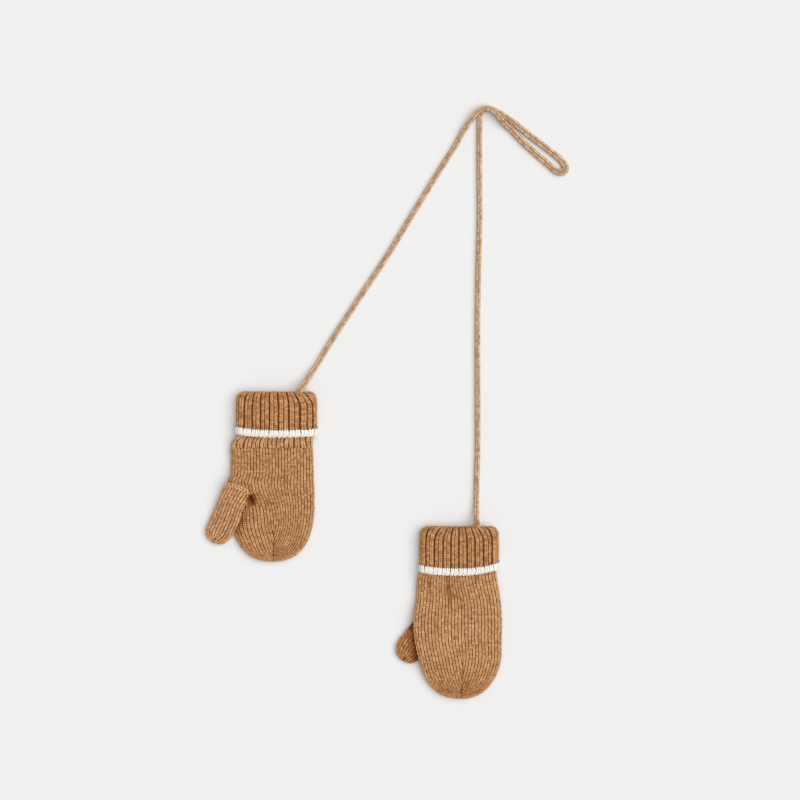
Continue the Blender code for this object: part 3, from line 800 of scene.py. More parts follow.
STEEPEST = 1.2  # how far towards the seam a wale leans at most, for each millimetre down
LINE_POINTS = 90  # on each wale's line down to the cap, and as many over it
LINE_ROOM = 0.02  # share of its place that a line keeps from the seam and from the sides
ROW_BACK = 0.1  # how far before its course a stitch's middle lies, in courses


def smooth(t):
    """From 0 to 1 as t does, and level at both."""
    t = np.clip(t, 0.0, 1.0)
    return t * t * (3 - 2 * t)


def unsmooth(y):
    """The t at which smooth(t) is y."""
    return 0.5 - np.sin(np.arcsin(1 - 2 * np.clip(y, 0.0, 1.0)) / 3)


def mix(a, b, t):
    """The share t of the way from a to b."""
    return a + (b - a) * t


def values(rows, at):
    """Every column of a table at the given places, on curves that never run past the rows."""
    table = np.array(rows, float)
    place, columns = table[:, 0], table[:, 1:]
    at = np.clip(np.asarray(at, float), place[0], place[-1])
    k = np.clip(np.searchsorted(place, at, "right") - 1, 0, len(place) - 2)
    slopes = np.diff(columns, axis=0) / np.diff(place)[:, None]
    before, after = slopes[:-1], slopes[1:]
    both = before * after > 0
    joined = np.where(both, 2 * before * after / np.where(both, before + after, 1), 0)
    slope = np.concatenate([joined[:1] * 0, joined, joined[:1] * 0])
    width = (place[k + 1] - place[k])[..., None]
    t = (at - place[k])[..., None] / width
    a, b = columns[k], columns[k + 1]
    found = a + (b - a) * t * t * (3 - 2 * t)
    found = found + width * t * (1 - t) * ((1 - t) * slope[k] - t * slope[k + 1])
    return np.moveaxis(found, -1, 0)


def surface(tube, x, v, offset, upper):
    """Points (u, v, z) on a flat tube, at x from -1 to 1 across it, raised by offset from its cloth."""
    left, right, low_left, low_right, height = values(tube.rows, v)
    half, middle = (right - left) / 2 + offset, (right + left) / 2
    length = tube.length + offset
    t = np.clip((v - tube.cap) / (length - tube.cap), 0.0, 1.0)
    half = half * (1 - t**tube.blunt) ** (1 / tube.blunt)
    low = mix(low_left, low_right, (x + 1) / 2)
    widest = low + WIDEST * height
    level = np.where(upper, low + height * (1 - CROWN * x * x) + offset, low - offset)
    back = np.clip((length - v) / (TIP_ROUND + offset), 0.0, 1.0)
    level = mix(widest, level, np.sqrt(1 - (1 - back) ** 2))
    reach = np.maximum(np.minimum(SIDE_ROUND + ROUND_GROWS * offset, ROUND_MOST * half), 1e-6)
    out = np.clip(1 - (1 - np.abs(x)) * half / reach, 0.0, 1.0)
    rise = np.sqrt(1 - out * out)
    return np.stack(np.broadcast_arrays(middle + half * x, v, mix(widest, level, rise)), axis=-1)


ACROSS = np.sin(np.linspace(-math.pi / 2, math.pi / 2, 121))


def spread(tube, share, v, offset, upper):
    """The x at each share of the way over the cloth, from the tube's left side to its right one."""
    line = surface(tube, ACROSS, np.asarray(v)[..., None], offset, np.asarray(upper)[..., None])
    far = np.cumsum(np.linalg.norm(np.diff(line, axis=-2), axis=-1), axis=-1)
    far = np.concatenate([far[..., :1] * 0, far], axis=-1)
    far /= np.maximum(far[..., -1:], 1e-9)
    k = np.clip((far < np.asarray(share)[..., None]).sum(axis=-1) - 1, 0, len(ACROSS) - 2)
    low = np.take_along_axis(far, k[..., None], -1)[..., 0]
    high = np.take_along_axis(far, k[..., None] + 1, -1)[..., 0]
    return mix(ACROSS[k], ACROSS[k + 1], np.clip((share - low) / np.maximum(high - low, 1e-9), 0, 1))


def across_tube(p):
    """x at p round a tube, and whether it is on top: p is -1 to 1 there, and 1 to 3 underneath."""
    p = (p + 2) % 4 - 2
    upper = np.abs(p) <= 1
    return np.where(upper, p, np.sign(p) * (2 - np.abs(p))), upper


def round_the_tube(tube, p, v):
    """Points of a tube's cloth at p round it."""
    x, upper = across_tube(p)
    return surface(tube, spread(tube, (x + 1) / 2, v, 0.0, upper), v, 0.0, upper)


def along_thumb(mitten, u, v):
    """How far down the thumb, and how far across it, a place on the mitten is."""
    du, dv = u - mitten.thumb_root[0], v - mitten.thumb_root[1]
    sin, cos = math.sin(mitten.thumb_turn), math.cos(mitten.thumb_turn)
    return dv * cos - du * sin, du * cos + dv * sin


def from_thumb(mitten, points):
    """The thumb's own points (across, down, z) in the mitten's coordinates."""
    sin, cos = math.sin(mitten.thumb_turn), math.cos(mitten.thumb_turn)
    across, s, z = np.moveaxis(points, -1, 0)
    u = mitten.thumb_root[0] + across * cos - s * sin
    return np.stack([u, mitten.thumb_root[1] + s * cos + across * sin, z], axis=-1)


def beside_thumb(mitten, u, v):
    """How far outside the thumb's outline a place is, and how far down the thumb."""
    s, across = along_thumb(mitten, u, v)
    left, right, _, _, _ = values(mitten.thumb.rows, s)
    half = (right - left) / 2
    past = np.maximum(0.0, s - mitten.thumb.cap) * half / (mitten.thumb.length - mitten.thumb.cap)
    return np.hypot(across - (left + right) / 2, past) - half, s


def round_thumb(mitten, points):
    """Moves the hand's points to where its cloth lies above or below the thumb."""
    u, v, z = np.moveaxis(points, -1, 0)
    beside, s = beside_thumb(mitten, u, v)
    near = 1 - smooth((beside + RAMP_INSIDE) / RAMP_REACH)
    ramp = smooth((s - RAMP_START) / RAMP)
    _, _, low, _, height = values(mitten.hand.rows, v)
    gap = height - 2 * JERSEY
    squeeze = gap - CLOSED_GAP
    share = np.clip((z - low - JERSEY) / gap, 0.0, 1.0)
    if mitten.thumb_on_top:
        drawn_up = mitten.thumb.rows[0][5] + mitten.thumb.rows[0][4] - height
        before = smooth((s - RAMP_START + RISE_BEFORE) / RISE_BEFORE)
        moved = z + near * share * mix(drawn_up * before, -squeeze, ramp)
    else:
        full = mitten.thumb.rows[0][5] + OVER_THUMB
        lift = full * near * ramp
        swell = 1 - smooth((beside + RAMP_INSIDE) / (2 * RAMP_REACH))
        swell = swell * smooth((s - SWELL_START) / SWELL)
        moved = z + mix(lift, np.maximum(lift - squeeze, (full - squeeze) * swell), share)
    return np.stack([u, v, moved], axis=-1)


def troughs(mitten, u, v):
    """How deep the hand's soft troughs are at a place, and how much painted shade they hold."""
    depth = shade = 0.0
    for at_u, at_v, heading, long, wide, deep, dark in mitten.dents:
        sin, cos = math.sin(math.radians(heading)), math.cos(math.radians(heading))
        along = (v - at_v) * cos + (u - at_u) * sin
        aside = (u - at_u) * cos - (v - at_v) * sin
        near = np.exp(-((along / long) ** 2) - (aside / wide) ** 2)
        depth, shade = depth + deep * near, shade + dark * near
    return depth, shade


def dented(mitten, points):
    """Presses the troughs into the top of a cloth, and leaves its underside."""
    u, v, z = np.moveaxis(points, -1, 0)
    hold = smooth((z - DENTED[0]) / (DENTED[1] - DENTED[0]))
    return np.stack([u, v, z - troughs(mitten, u, v)[0] * hold], axis=-1)


def placed(mitten, points):
    """The mitten's points in the scene."""
    u, v, z = np.moveaxis(points, -1, 0)
    return np.stack([mitten.x + u, mitten.y - v, z], axis=-1)


def wale_lines(tube, columns, seam, start, drifts=()):
    """Lines down a tube that its wales follow, from their start to its tip, and how far down each one ends.

    Where the tube narrows, the outer wales stay as far from its sides as they are, and the inner ones
    end one after another along a seam down its middle.
    """
    seam, kept_left, kept_right = seam
    tip = np.sin(np.linspace(0, math.pi / 2, LINE_POINTS)[1:])
    v = np.linspace(start, tube.cap, LINE_POINTS)
    v = np.append(v, tube.cap + (tube.length - tube.cap) * tip)[:, None]
    p = -1 + 4 * np.arange(columns) / columns + 0 * v
    past = np.clip((v - tube.cap) / (tube.length - tube.cap), 0, 1)
    for centre, wide, reach, first, last in drifts:
        away = (p - centre + 2) % 4 - 2
        lean = reach * (1 - smooth(np.abs(away) / wide)) * smooth((v - first) / (last - first))
        p = p + lean * (1 - past**2)
    x, upper = across_tube(p)
    share = np.where(x > seam, (x - seam) / (1 - seam), (seam - x) / (1 + seam))

    over = np.linalg.norm(np.diff(surface(tube, ACROSS, v, 0.0, True), axis=1), axis=2).sum(axis=1)
    slope = np.maximum(np.diff(over) / 2, -STEEPEST * np.diff(v[:, 0]))[LINE_POINTS - 1 :]
    before, widest = np.ones(LINE_POINTS), over[LINE_POINTS - 1]
    narrow = np.append(before, over[LINE_POINTS:] / widest)[:, None]
    followed = np.append(before, 1 + 2 * np.cumsum(slope) / widest)[:, None]
    kept = smooth(2 * past) * np.where(x > seam, kept_right, kept_left)
    moved = mix(share, (followed - 1 + share) / np.maximum(narrow, 1e-3), kept)
    ended = (moved > 1) | ((moved < 0) & (moved < share - 2.0 / columns))
    ends = np.where(ended.any(axis=0), v[ended.argmax(axis=0), 0], tube.length)
    share = np.clip(moved, LINE_ROOM * share, 1 - LINE_ROOM * (1 - share))
    x = seam + np.where(x > seam, share * (1 - seam), -share * (1 + seam))
    return round_the_tube(tube, np.where(upper, x, np.where(x < 0, -2 - x, 2 - x)), v), ends


def in_courses(lines, ends, straight, straight_to):
    """The lines' points at each course, straight across at first, and whether each wale still runs there."""
    lengths = [travelled(line)[-1] for line in np.moveaxis(lines, 1, 0)]
    found = []
    for line in np.moveaxis(lines, 1, 0):
        far = travelled(line)
        before = len(line) // 2
        turning = np.interp(straight_to, line[:before, 1], far[:before])
        rest = turning + COURSE * np.arange(math.ceil((max(lengths) - turning) / COURSE))
        at = np.append(np.linspace(0, turning, straight, endpoint=False), rest)
        found.append(read_along(line, at))
    most = max(len(line) for line in found)
    filled = [np.append(line, np.repeat(line[-1:], most - len(line), axis=0), axis=0) for line in found]
    points = np.stack(filled, axis=1)
    return points, points[..., 1] < ends


def edge_at(mitten, x):
    """How far below the fold the cast-on edge ends: it sags between its two sides."""
    left, middle, right = mitten.edge
    return mix(middle, np.where(x < 0, left, right), x * x)


def wrist_slope(mitten, x):
    """A wrist that the cuff hides runs along the cast-on edge, and one that shows runs straight."""
    return edge_at(mitten, x) - mitten.edge[1] if mitten.wrist < mitten.edge[1] else 0.0 * x


def hand_cloth(mitten):
    """The hand's cloth from its wrist to its gathered tip."""
    columns = 2 * HALF_WALES
    start = mitten.wrist + SEAM / 2 - WRIST_LAP
    lines, ends = wale_lines(mitten.hand, columns, mitten.seam, start, mitten.drifts)
    straight = round((STRAIGHT_TO - start) / COURSE)
    points, runs = in_courses(lines, ends, straight, STRAIGHT_TO)
    x, _ = across_tube(-1 + 4 * np.arange(columns) / columns)
    fade = np.clip(1 - np.arange(len(points)) / straight, 0, 1)[:, None]
    points[..., 1] += wrist_slope(mitten, x) * fade
    points = dented(mitten, round_thumb(mitten, points))
    return cloth_of(placed(mitten, points), facing=-1), runs


def jersey_stitches(runs, columns):
    """A stitch on every course of these wales, as far down as each one runs."""
    row, column = np.meshgrid(np.arange(1, len(runs) - 1), columns, indexing="ij")
    row, column = row[runs[row, column]], column[runs[row, column]]
    return np.stack([row - ROW_BACK, column, np.ones(len(row))], axis=1)


def wall(mitten, name, finish, soft=False):
    """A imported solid's own form, drawn in a little beneath its stitches, with the hand's soft troughs."""
    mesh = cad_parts[name].data.copy()
    mesh.name = name + "_wall"
    work = bmesh.new()
    work.from_mesh(mesh)
    bmesh.ops.remove_doubles(work, verts=work.verts, dist=1e-6)
    bmesh.ops.recalc_face_normals(work, faces=work.faces)
    work.normal_update()
    points = np.array([vert.co - vert.normal * WALL_DRAW * MM for vert in work.verts]) / MM
    if soft:
        here = np.stack([points[:, 0] - mitten.x, mitten.y - points[:, 1], points[:, 2]], axis=1)
        points = placed(mitten, dented(mitten, here))
    for vert, co in zip(work.verts, points * MM):
        vert.co = co
    work.to_mesh(mesh)
    work.free()
    mesh.materials.clear()
    mesh.materials.append(finish)
    mesh.shade_smooth()
    return add_object(mesh.name, mesh)


def make_sheet(piece, node, stitches):
    """Puts a wall and its stitches in an imported node's place."""
    for part in [piece] + stitches:
        dress(part, node)


THUMB_COVERS = (2.5, 3.5)  # from how far inside its outline, and from how far down it, a thumb hides stitches


def off_thumb(mitten, upper):
    """Tells which of the hand's stitches the thumb doesn't cover."""

    def shown(points):
        beside, s = beside_thumb(mitten, points[:, 0] - mitten.x, mitten.y - points[:, 1])
        inside = (beside < -THUMB_COVERS[0]) & (s > THUMB_COVERS[1])
        return ~(inside & (upper == mitten.thumb_on_top))

    return shown


camel_jersey = wool(
    "camel_jersey",
    light=(0.845, 0.51, 0.272),
    middle=(0.67, 0.363, 0.168),
    dark=(0.435, 0.20, 0.077),
    fleck=(0.87, 0.62, 0.40),
)
# The hand's and thumbs' walls are dark brown: painted shade between the stitches.
jersey_shaded_ground = ground("jersey_shaded_ground", (0.17, 0.06, 0.014))


def shade_on_hand(mitten, spots):
    """How much painted shade the stitches on the hand's top carry, from its troughs and over all of it."""
    return troughs(mitten, spots[:, 0] - mitten.x, mitten.y - spots[:, 1])[1] + mitten.tone


# The strands at a hand's tip: how many, the share of its width that they close, how far in from its end
# they are, and how far each reaches to its sides and up and down.
CLOSING = 13
CLOSING_WIDE = 0.42
CLOSING_IN = 0.9
CLOSING_REACH = (0.4, 1.5)


def close_tip(mitten, seed):
    """Strands over the tip's edge, which close the last stitches of the top and the underside."""
    tube = mitten.hand
    left, right, low, _, height = values(tube.rows, tube.length)
    across = np.linspace(-CLOSING_WIDE, CLOSING_WIDE, CLOSING)
    rounded = (1 - np.abs(across) ** tube.blunt) ** (1 / tube.blunt)
    v = rounded * (tube.length - tube.cap) + tube.cap - CLOSING_IN
    u = (left + right) / 2 + across * (right - left) / 2
    z = np.full(CLOSING, low + WIDEST * height)
    aside, up = CLOSING_REACH
    first = placed(mitten, np.stack([u - aside, v, z + up], axis=1))
    second = placed(mitten, np.stack([u + aside, v, z - up], axis=1))
    out = np.array([[0.0, -1.0, 0.0]])
    name = f"{mitten.name}_hand_closing"
    # The closing strands carry a little painted shade.
    return sew(name, first, second, out, camel_jersey, seed, wide=0.6, arch=0.9, dark=0.15)


def knit_hand(mitten, seed):
    """The hand's stitches on its top and its underside, its closed tip and its wall."""
    name = f"{mitten.name}_hand"
    cloth, runs = hand_cloth(mitten)
    made = []
    for side, upper in (("top", True), ("underside", False)):
        wales = 2 * np.arange(HALF_WALES // 2) + (1 if upper else 1 + HALF_WALES)
        made.append(
            knit(
                f"{name}_{side}_stitches",
                cloth,
                jersey_stitches(runs, wales),
                camel_jersey,
                seed + 50 * upper,
                keep=off_thumb(mitten, upper),
                dark=functools.partial(shade_on_hand, mitten) if upper else None,
            )
        )
    made.append(close_tip(mitten, seed + 9))
    make_sheet(wall(mitten, name, jersey_shaded_ground, soft=True), name, made)


knit_hand(LEFT, seed=11)

# The left thumb is a smaller tube of the same jersey with a gathered tip. Its stitches are picked up round
# the hole in the palm, where a chain of loops shows, paler from the wool's lighter tints and painted light.
THUMB_WALES = 20  # round it
THUMB_SEAM = (0.0, 0.35, 0.35)  # as the hand's
THUMB_STRAIGHT = 12.0  # how far down it the slant of its root is evened out
# Painted light on a thumb on top, which makes it lighter than the hand.
THUMB_PAINTED_LIGHT = 0.16  # a thumb on top lies in more light than the hand
# A thumb beneath carries painted shade for the hand's shade over it: how much all over and under the
# hand's side, how far out from there it fades, and between which heights it starts, because the underside
# doesn't show it.
THUMB_SHADE = 0.15
UNDER_SHADE = 1.3
UNDER_REACH = 3.8
UNDER_HEIGHTS = (0.5, 2.5)
# Where a loop of the chain at the root, and a strand between two of them, starts and ends: how many rows
# and half-wales from its place.
CHAINED = ((-0.1, -1.0), (-0.3, 1.0))
PICKED_UP = ((-0.4, -0.5), (1.3, 0.3))


def root_slant(mitten, z):
    """How far down the thumb its wall starts, which goes by the height of the point."""
    _, _, low_left, low_right, height = values(mitten.thumb.rows, 0)
    share = (z - mix(low_left, low_right, 0.5)) / height
    if not mitten.thumb_on_top:
        share = 1 - share
    return RAMP_START + RAMP * unsmooth(1 - share) + ROOT_DROP


def thumb_cloth(mitten):
    """The thumb's cloth from its slanted root to its gathered tip."""
    lines, ends = wale_lines(mitten.thumb, 2 * THUMB_WALES, THUMB_SEAM, 0.0)
    straight = round(THUMB_STRAIGHT / COURSE)
    points, runs = in_courses(lines, ends, straight, THUMB_STRAIGHT)
    slant = root_slant(mitten, points[0, :, 2])
    fade = np.clip(1 - np.arange(len(points)) / straight, 0, 1)[:, None]
    points[..., 1] += slant * fade
    return cloth_of(placed(mitten, from_thumb(mitten, points)), facing=-1), runs


def shade_on_thumb(mitten, spots):
    """Painted shade on a thumb: one on top shares that of the hollow beside it, less its painted light, and
    one beneath carries painted shade for the hand's shade over it.
    """
    u, v = spots[:, 0] - mitten.x, mitten.y - spots[:, 1]
    if mitten.thumb_on_top:
        return troughs(mitten, u, v)[1] - THUMB_PAINTED_LIGHT
    beyond = np.maximum(values(mitten.hand.rows, v)[0] - u, 0.0)
    above = smooth((spots[:, 2] - UNDER_HEIGHTS[0]) / (UNDER_HEIGHTS[1] - UNDER_HEIGHTS[0]))
    return above * (THUMB_SHADE + UNDER_SHADE * np.exp(-((beyond / UNDER_REACH) ** 2)))


def strands(row, column, start, end):
    """A strand at each row and column, which starts and ends this many rows and half-wales from there."""
    return np.stack([row + start[0], column + start[1], row + end[0], column + end[1]], axis=1)


def knit_thumb(mitten, seed):
    """The thumb's stitches, the row that is picked up at its root, and its wall."""
    name = f"{mitten.name}_thumb"
    cloth, runs = thumb_cloth(mitten)
    stitches = jersey_stitches(runs, 2 * np.arange(THUMB_WALES) + 1)
    dark = functools.partial(shade_on_thumb, mitten)
    made = [knit(name + "_stitches", cloth, stitches, camel_jersey, seed, dark=dark)]
    wales = np.arange(1.0, THUMB_WALES - 1, 2.0)
    chain = strands(0 * wales, wales, *CHAINED)
    between = wales[:-1] + 1.0
    picked = strands(0 * between, between, *PICKED_UP)
    joins = np.concatenate([chain, picked])
    # The chain and the strands keep to the lighter tints, and carry painted light.
    look = {"height": 0.45, "wide": 0.48, "light": 0.6, "dark": -0.4}
    made.append(sew_on(name + "_joins", cloth, joins, camel_jersey, seed + 1, **look))
    make_sheet(wall(mitten, name, jersey_shaded_ground), name, made)


knit_thumb(LEFT, seed=21)

# The left cuff is two-by-one rib, turned back over the wrist: two knit wales stand up as a rib, and the
# third, purled, sinks into the furrow between it and the next.
RIB_LINES = (0.0, 0.028, 0.264, 0.50, 0.736, 0.972)  # half-wale lines from one furrow towards the next
RIB_HALF = 1.08  # half a rib stitch's width, in half-wales
RIB_ROW = 0.4  # where in its course a rib's stitch has its middle
PURLED = ((-0.1, -0.9), (0.1, 0.9))  # where a purled loop starts and ends, from its place in the furrow
RIB_BLUNT = 0.4  # the smaller, the squarer a rib
UNDER_FULL = 0.7  # how full the furrows underneath are
SIDE_FULL = 0.5  # and those at the cuff's two sides
INSIDE = 9.0  # how far into the mouth the ribs are knitted
OUTER_RINGS, FOLD_RINGS, MOUTH_RINGS = 24, 16, 6
DEEPENING = 5.0  # how far from the fold the furrows reach their full depth
FLATTENING = (65, 150)  # degrees round the fold between which they flatten out
FLAT_ROWS = 10  # rows past the open side of a flat fold that have no furrows


def rib_lines(mitten, table=None, levels=(FOLD_LEVEL, CUFF_LEVEL), offset=FOLDED):
    """Half-wale lines round the cuff: x at the first level and the second, how full the rib is, and upper."""
    tube = mitten.hand
    table = table or mitten.furrows
    ribs = len(table) + 1
    places = (np.arange(ribs)[:, None] + np.array(RIB_LINES)).ravel()
    columns = []
    for column, v in enumerate(levels):
        left, right, _, _, _ = values(tube.rows, v)
        half = (right - left) / 2 + offset
        furrows = np.array([-1.0] + [row[column] / half for row in table] + [1.0])
        far = travelled(surface(tube, ACROSS, v, offset, True))
        marks = np.interp(furrows, ACROSS, far)
        top = np.interp(np.interp(places, np.arange(ribs + 1), marks), far, ACROSS)
        below = spread(tube, places / ribs, np.full(len(places), v), offset, False)
        columns.append(np.append(top, -below))
    full = np.tile(np.sin(math.pi * np.array(RIB_LINES)) ** RIB_BLUNT, 2 * ribs)
    upper = np.arange(len(full)) < len(places)
    full = np.where(upper, full, mix(UNDER_FULL, 1.0, full))
    full[[0, len(places)]] = SIDE_FULL
    return columns[0], columns[1], full, upper


def cuff_points(mitten, lines, v, offset):
    """Points of the cuff at each line, offset out from the inner layer's face."""
    at_fold, at_edge, _, upper = lines
    return surface(mitten.hand, mix(at_fold, at_edge, smooth(v / CUFF_LEVEL)), v, offset, upper)


def all_evenly(lines, count):
    """Every line again, each with this many points the same distance apart."""
    return np.stack([evenly(line, count) for line in np.moveaxis(lines, 1, 0)], axis=1)


def rib_cloth(mitten):
    """The cuff's ribs from the cast-on edge up the outer layer, over the fold and into the mouth."""
    lines = rib_lines(mitten)
    deep = RIB_DEPTH * (1 - lines[2])
    bend = RIB + FOLD_GAP / 2
    start = edge_at(mitten, lines[1]) - STRIPE - SEAM
    rings = []
    for share in np.linspace(0, 1, OUTER_RINGS, endpoint=False):
        v = mix(start, bend, share)
        sunk = deep * mix(mitten.fold_furrow, 1.0, smooth((v - bend) / DEEPENING))
        rings.append(cuff_points(mitten, lines, v, FOLDED - sunk))
    for turn in np.linspace(0, math.pi, FOLD_RINGS):
        flat = smooth((math.degrees(turn) - FLATTENING[0]) / (FLATTENING[1] - FLATTENING[0]))
        arm = bend - deep * mitten.fold_furrow * (1 - flat)
        v, out = bend - arm * math.sin(turn), FOLD_GAP / 2 + arm * math.cos(turn)
        rings.append(cuff_points(mitten, lines, v, out))
    for v in np.linspace(bend, INSIDE, MOUTH_RINGS)[1:]:
        rings.append(cuff_points(mitten, lines, v, -RIB))
    rings = np.array(rings)
    courses = round(travelled(rings[:, len(deep) // 4])[-1] / COURSE)
    return cloth_of(placed(mitten, all_evenly(rings, courses + 1)), facing=1)


def furrow_lines(columns):
    """The lines of a ribbed cloth that lie in its furrows."""
    return np.arange(0, columns, len(RIB_LINES))


def rib_stitches(rows, columns):
    """Two wales a rib, and none in the furrow."""
    lines = furrow_lines(columns)
    return all_stitches(rows, np.sort(np.append(lines + 2, lines + 4)), RIB_HALF)


def purled(rows, columns):
    """A purled loop in each furrow, on each of these rows."""
    row, column = np.meshgrid(rows, furrow_lines(columns), indexing="ij")
    return strands(row.ravel(), column.ravel(), *PURLED)


camel_rib = wool(
    "camel_rib",
    light=(0.785, 0.45, 0.228),
    middle=(0.61, 0.316, 0.14),
    dark=(0.38, 0.168, 0.06),
    fleck=(0.82, 0.565, 0.355),
)
# The cuff's walls are dark brown: painted shade between the stitches and in the furrows.
rib_shaded_ground = ground("rib_shaded_ground", (0.15, 0.045, 0.010))


# The inner layer is stretched a little, so that its furrows are shallow and less of it lies in shade, and
# its stitches carry painted light, which makes them lighter all over.
WRIST_UNDER = 1.0  # how far up under the cuff's open edge its ribs start
WRIST_LEVEL = 3.0  # how far below there their upper places are read
WRIST_FURROWS = (0.36, 0.16)  # share of the ribs' depth where they start and where they end
# Painted light on the inner layer's stitches.
WRIST_PAINTED_LIGHT = 0.3


def wrist_cloth(mitten):
    """The inner layer's ribs where they show below the cast-on edge."""
    start, end = min(mitten.edge) - WRIST_UNDER, mitten.wrist - SEAM / 2
    levels = (start + WRIST_LEVEL, end)
    top, bottom, full, upper = rib_lines(mitten, mitten.wrist_furrows, levels, 0.0)
    rings = []
    for share in np.linspace(0, 1, round((end - start) / COURSE) + 1):
        deep = RIB_DEPTH * (1 - full) * mix(*WRIST_FURROWS, share)
        rings.append(surface(mitten.hand, mix(top, bottom, share), mix(start, end, share), -deep, upper))
    return cloth_of(placed(mitten, np.array(rings)), facing=-1)


def painted_light_on_wrist(spots):
    """The painted light on the inner layer's stitches, given as shade below 0."""
    return np.full(len(spots), -WRIST_PAINTED_LIGHT)


def knit_cuff(mitten, seed):
    """The cuff's ribs and furrows, those of the wrist where they show, and the wall of both layers."""
    name = f"{mitten.name}_cuff"
    cloth = rib_cloth(mitten)
    rows, columns = cloth.points.shape[:2]
    stitches = rib_stitches(np.arange(rows - 1) + RIB_ROW, columns)
    made = [knit(name + "_stitches", cloth, stitches, camel_rib, seed)]
    furrowed = rows - 1 if mitten.fold_furrow > 0.5 else rows - 1 - FLAT_ROWS
    purls = purled(np.arange(furrowed) + 0.5, columns)
    # The purled loops carry heavy painted shade, which darkens the furrows.
    look = {"height": -0.6, "wide": 0.3, "arch": 0.1, "dark": 2.2}
    made.append(sew_on(name + "_purls", cloth, purls, camel_rib, seed + 2, **look))
    if mitten.wrist > max(mitten.edge):
        wrist = wrist_cloth(mitten)
        rows = np.arange(len(wrist.points) - 1) + 0.5
        stitches, purls = rib_stitches(rows, columns), purled(rows, columns)
        part = f"{mitten.name}_wrist"
        made.append(knit(part + "_stitches", wrist, stitches, camel_rib, seed + 1, dark=painted_light_on_wrist))
        # The wrist's purled loops carry a little painted shade.
        look = {"height": -0.3, "wide": 0.3, "arch": 0.2, "dark": 0.3}
        made.append(sew_on(part + "_purls", wrist, purls, camel_rib, seed + 3, **look))
    make_sheet(wall(mitten, name, rib_shaded_ground), name, made)


knit_cuff(LEFT, seed=31)

# The left cast-on edge is a band of cream wool: three rounds of stitches, with the cast-on row's beads along
# its lower side. At its upper side the camel of the furrows reaches into it in short ticks, which carry
# painted shade.
EDGE_ROUNDS = 3
EDGE_FURROWS = 0.3  # how deep the ribs' furrows go on into the band, as a share of their depth
BEADED = ((0.2, -0.95), (0.3, 0.95))  # where a bead starts and ends, from its wale's place on the edge
TICK_TOP = 4.5  # row of the ticks' upper ends
TICK_FOOT = 2.9  # and of their lower ones, which vary by
TICK_VARIES = 0.35
# Share of the band's height, down from the ribs; how far out it is; share of its bulge.
EDGE_PROFILE = (
    (0.97, FOLD_GAP + 0.6, 0.0),
    (1.05, FOLDED - 0.8, 0.3),
    (0.88, FOLDED, 0.85),
    (0.55, FOLDED, 1.1),
    (0.22, FOLDED, 0.9),
    (-0.12, FOLDED, 0.5),
)


def edge_cloth(mitten):
    """The band of the second colour, from its cast-on row up to the ribs."""
    lines = rib_lines(mitten)
    rings = []
    for share, offset, bulge in EDGE_PROFILE:
        v = edge_at(mitten, lines[1]) - STRIPE * (1 - share)
        out = STRIPE_BULGE * bulge * lines[3] - EDGE_FURROWS * RIB_DEPTH * (1 - lines[2])
        rings.append(cuff_points(mitten, lines, v, offset + out))
    return cloth_of(placed(mitten, all_evenly(np.array(rings), EDGE_ROUNDS + 2)), facing=1)


cream_wool = wool(
    "cream_edge",
    light=(1.0, 0.98, 0.92),
    middle=(1.0, 0.96, 0.89),
    dark=(0.97, 0.92, 0.83),
    fleck=(1.0, 0.99, 0.96),
    shade=0.0,
    sheen=0.6,
)
cream_ground = ground("cream_ground", (0.98, 0.95, 0.88))


def knit_edge(mitten, seed):
    """The band's rounds, beads and ticks, and its wall."""
    name = f"{mitten.name}_cast_on_edge"
    cloth = edge_cloth(mitten)
    columns = cloth.points.shape[1]
    stitches = rib_stitches(np.arange(EDGE_ROUNDS) + 1.0, columns)
    made = [knit(name + "_stitches", cloth, stitches, cream_wool, seed, lift=0.3, full=0.5)]
    wales = stitches[: len(stitches) // EDGE_ROUNDS, 1]
    beads = strands(0 * wales, wales, *BEADED)
    made.append(sew_on(name + "_beads", cloth, beads, cream_wool, seed + 1, height=0.0, wide=0.62))
    places = furrow_lines(columns)
    foot = TICK_FOOT + np.random.default_rng(seed).normal(0, TICK_VARIES, len(places))
    ticks = strands(0 * places, places, (foot, 0), (TICK_TOP, 0))
    # The ticks are camel yarn with painted shade on it.
    look = {"height": 0.1, "wide": 0.26, "arch": 0.2, "dark": 0.9}
    made.append(sew_on(name + "_ticks", cloth, ticks, camel_rib, seed + 2, **look))
    make_sheet(wall(mitten, name, cream_ground), name, made)


knit_edge(LEFT, seed=41)

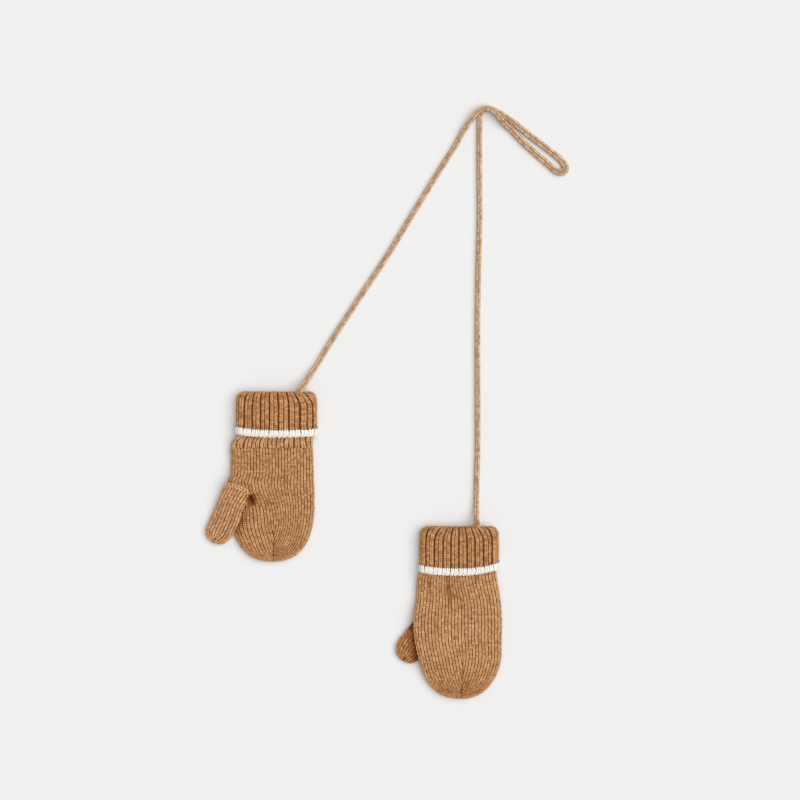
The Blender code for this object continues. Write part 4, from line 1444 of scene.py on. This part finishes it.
# The right mitten is knitted as the left one, with a shorter wrist that its cuff hides. It lies palm down,
# on its thumb, and its back is softly dented. Its back carries painted light all over, and painted shade in
# and beside its dents.
RIGHT = SimpleNamespace(
    name="right",
    x=78.6,
    y=14.0,
    hand=SimpleNamespace(
        rows=(
            (0, -23.8, 24.4, 2.7, 2.7, 7.0),
            (3, -26.0, 26.6, 2.7, 2.7, 7.0),
            (8, -26.9, 27.5, 2.7, 2.7, 7.0),
            (34.5, -27.0, 27.5, 2.7, 2.7, 7.0),
            (38, -30.3, 27.9, 2.7, 2.7, 6.9),
            (45.4, -31.5, 29.3, 1.0, 1.0, 7.3),
            (54.9, -32.0, 31.1, 0.0, 0.0, 7.8),
            (64.5, -33.5, 32.1, 0.0, 0.0, 7.8),
            (74.3, -34.3, 32.6, 0.0, 0.0, 7.8),
            (83.7, -33.5, 32.1, 0.0, 0.0, 7.8),
            (103, -31.3, 33.3, 0.0, 0.0, 7.8),
            (116, -31.7, 33.3, 0.0, 0.0, 7.8),
            (130, -32.2, 33.9, 0.0, 0.0, 7.8),
        ),
        cap=83.7,
        length=129.4,
        blunt=2.3,
    ),
    wrist=33.8,
    fold_furrow=0.9,
    edge=(34.5, 36.9, 32.3),
    furrows=(
        (-23.6, -25.8),
        (-15.1, -19.3),
        (-9.3, -12.7),
        (-5.1, -6.7),
        (-0.6, -0.6),
        (4.4, 5.7),
        (9.1, 11.7),
        (14.0, 18.3),
        (21.7, 24.8),
    ),
    thumb=SimpleNamespace(
        rows=(
            (0, -10.5, 10.5, 0.0, 0.0, 6.2),
            (15, -10.2, 9.6, 0.0, 0.0, 6.2),
            (33, -11.2, 10.0, 0.0, 0.0, 6.2),
            (46, -11.0, 10.8, 0.0, 0.0, 6.2),
        ),
        cap=33.0,
        length=45.6,
        blunt=2.3,
    ),
    thumb_root=(-16.2, 63.6),
    thumb_turn=math.radians(35.0),
    thumb_on_top=False,
    seam=(0.06, 0.5, 0.45),
    drifts=((0.25, 0.9, -0.10, 66.0, 34.0),),
    tone=-0.12,
    dents=(
        (0.0, 128.0, 90.0, 30.0, 14.0, 0.0, 0.35),
        (-26.7, 41.9, -13.6, 5.3, 1.1, 0.4, 0.55),
        (-22.3, 42.4, -17.0, 4.8, 1.1, 0.35, 0.6),
        (6.0, 114.0, 20.0, 6.0, 3.5, 0.3, 0.3),
        (-7.8, 48.0, 3.0, 14.0, 1.8, 0.9, 0.8),
        (2.0, 46.0, 0.0, 14.0, 9.0, 0.0, 0.15),
        (12.6, 39.0, -8.0, 5.0, 1.4, 0.6, 0.3),
    ),
)
knit_hand(RIGHT, seed=12)
knit_thumb(RIGHT, seed=22)
knit_cuff(RIGHT, seed=33)
knit_edge(RIGHT, seed=42)

# The pair lies on a plain table of matt white paper, in a studio's broad, soft light from above and a
# little from the right.
bpy.ops.mesh.primitive_plane_add(size=6.0, location=(0, 0, -0.0002))
table = bpy.context.object
table.name = "table"
paper = bpy.data.materials.new("white_paper")
paper.use_nodes = True
matt = paper.node_tree.nodes["Principled BSDF"]
matt.inputs["Base Color"].default_value = (0.78, 0.78, 0.78, 1)
matt.inputs["Roughness"].default_value = 1.0
matt.inputs["Specular IOR Level"].default_value = 0.0
table.data.materials.append(paper)

LIGHT_WAY = (-0.6, -0.12, -1.5)  # the way that it shines
sun = bpy.data.lights.new("key_light", "SUN")
sun.energy = 2.7
sun.angle = math.radians(66)
key_light = add_object("key_light", sun)
key_light.rotation_euler = Vector(LIGHT_WAY).to_track_quat("-Z", "Y").to_euler()
world = bpy.data.worlds.new("studio")
world.use_nodes = True
backdrop = world.node_tree.nodes["Background"]
backdrop.inputs["Color"].default_value = (1, 1, 1, 1)
backdrop.inputs["Strength"].default_value = 0.333
bpy.context.scene.world = world
bpy.context.scene.view_settings.view_transform = "Standard"
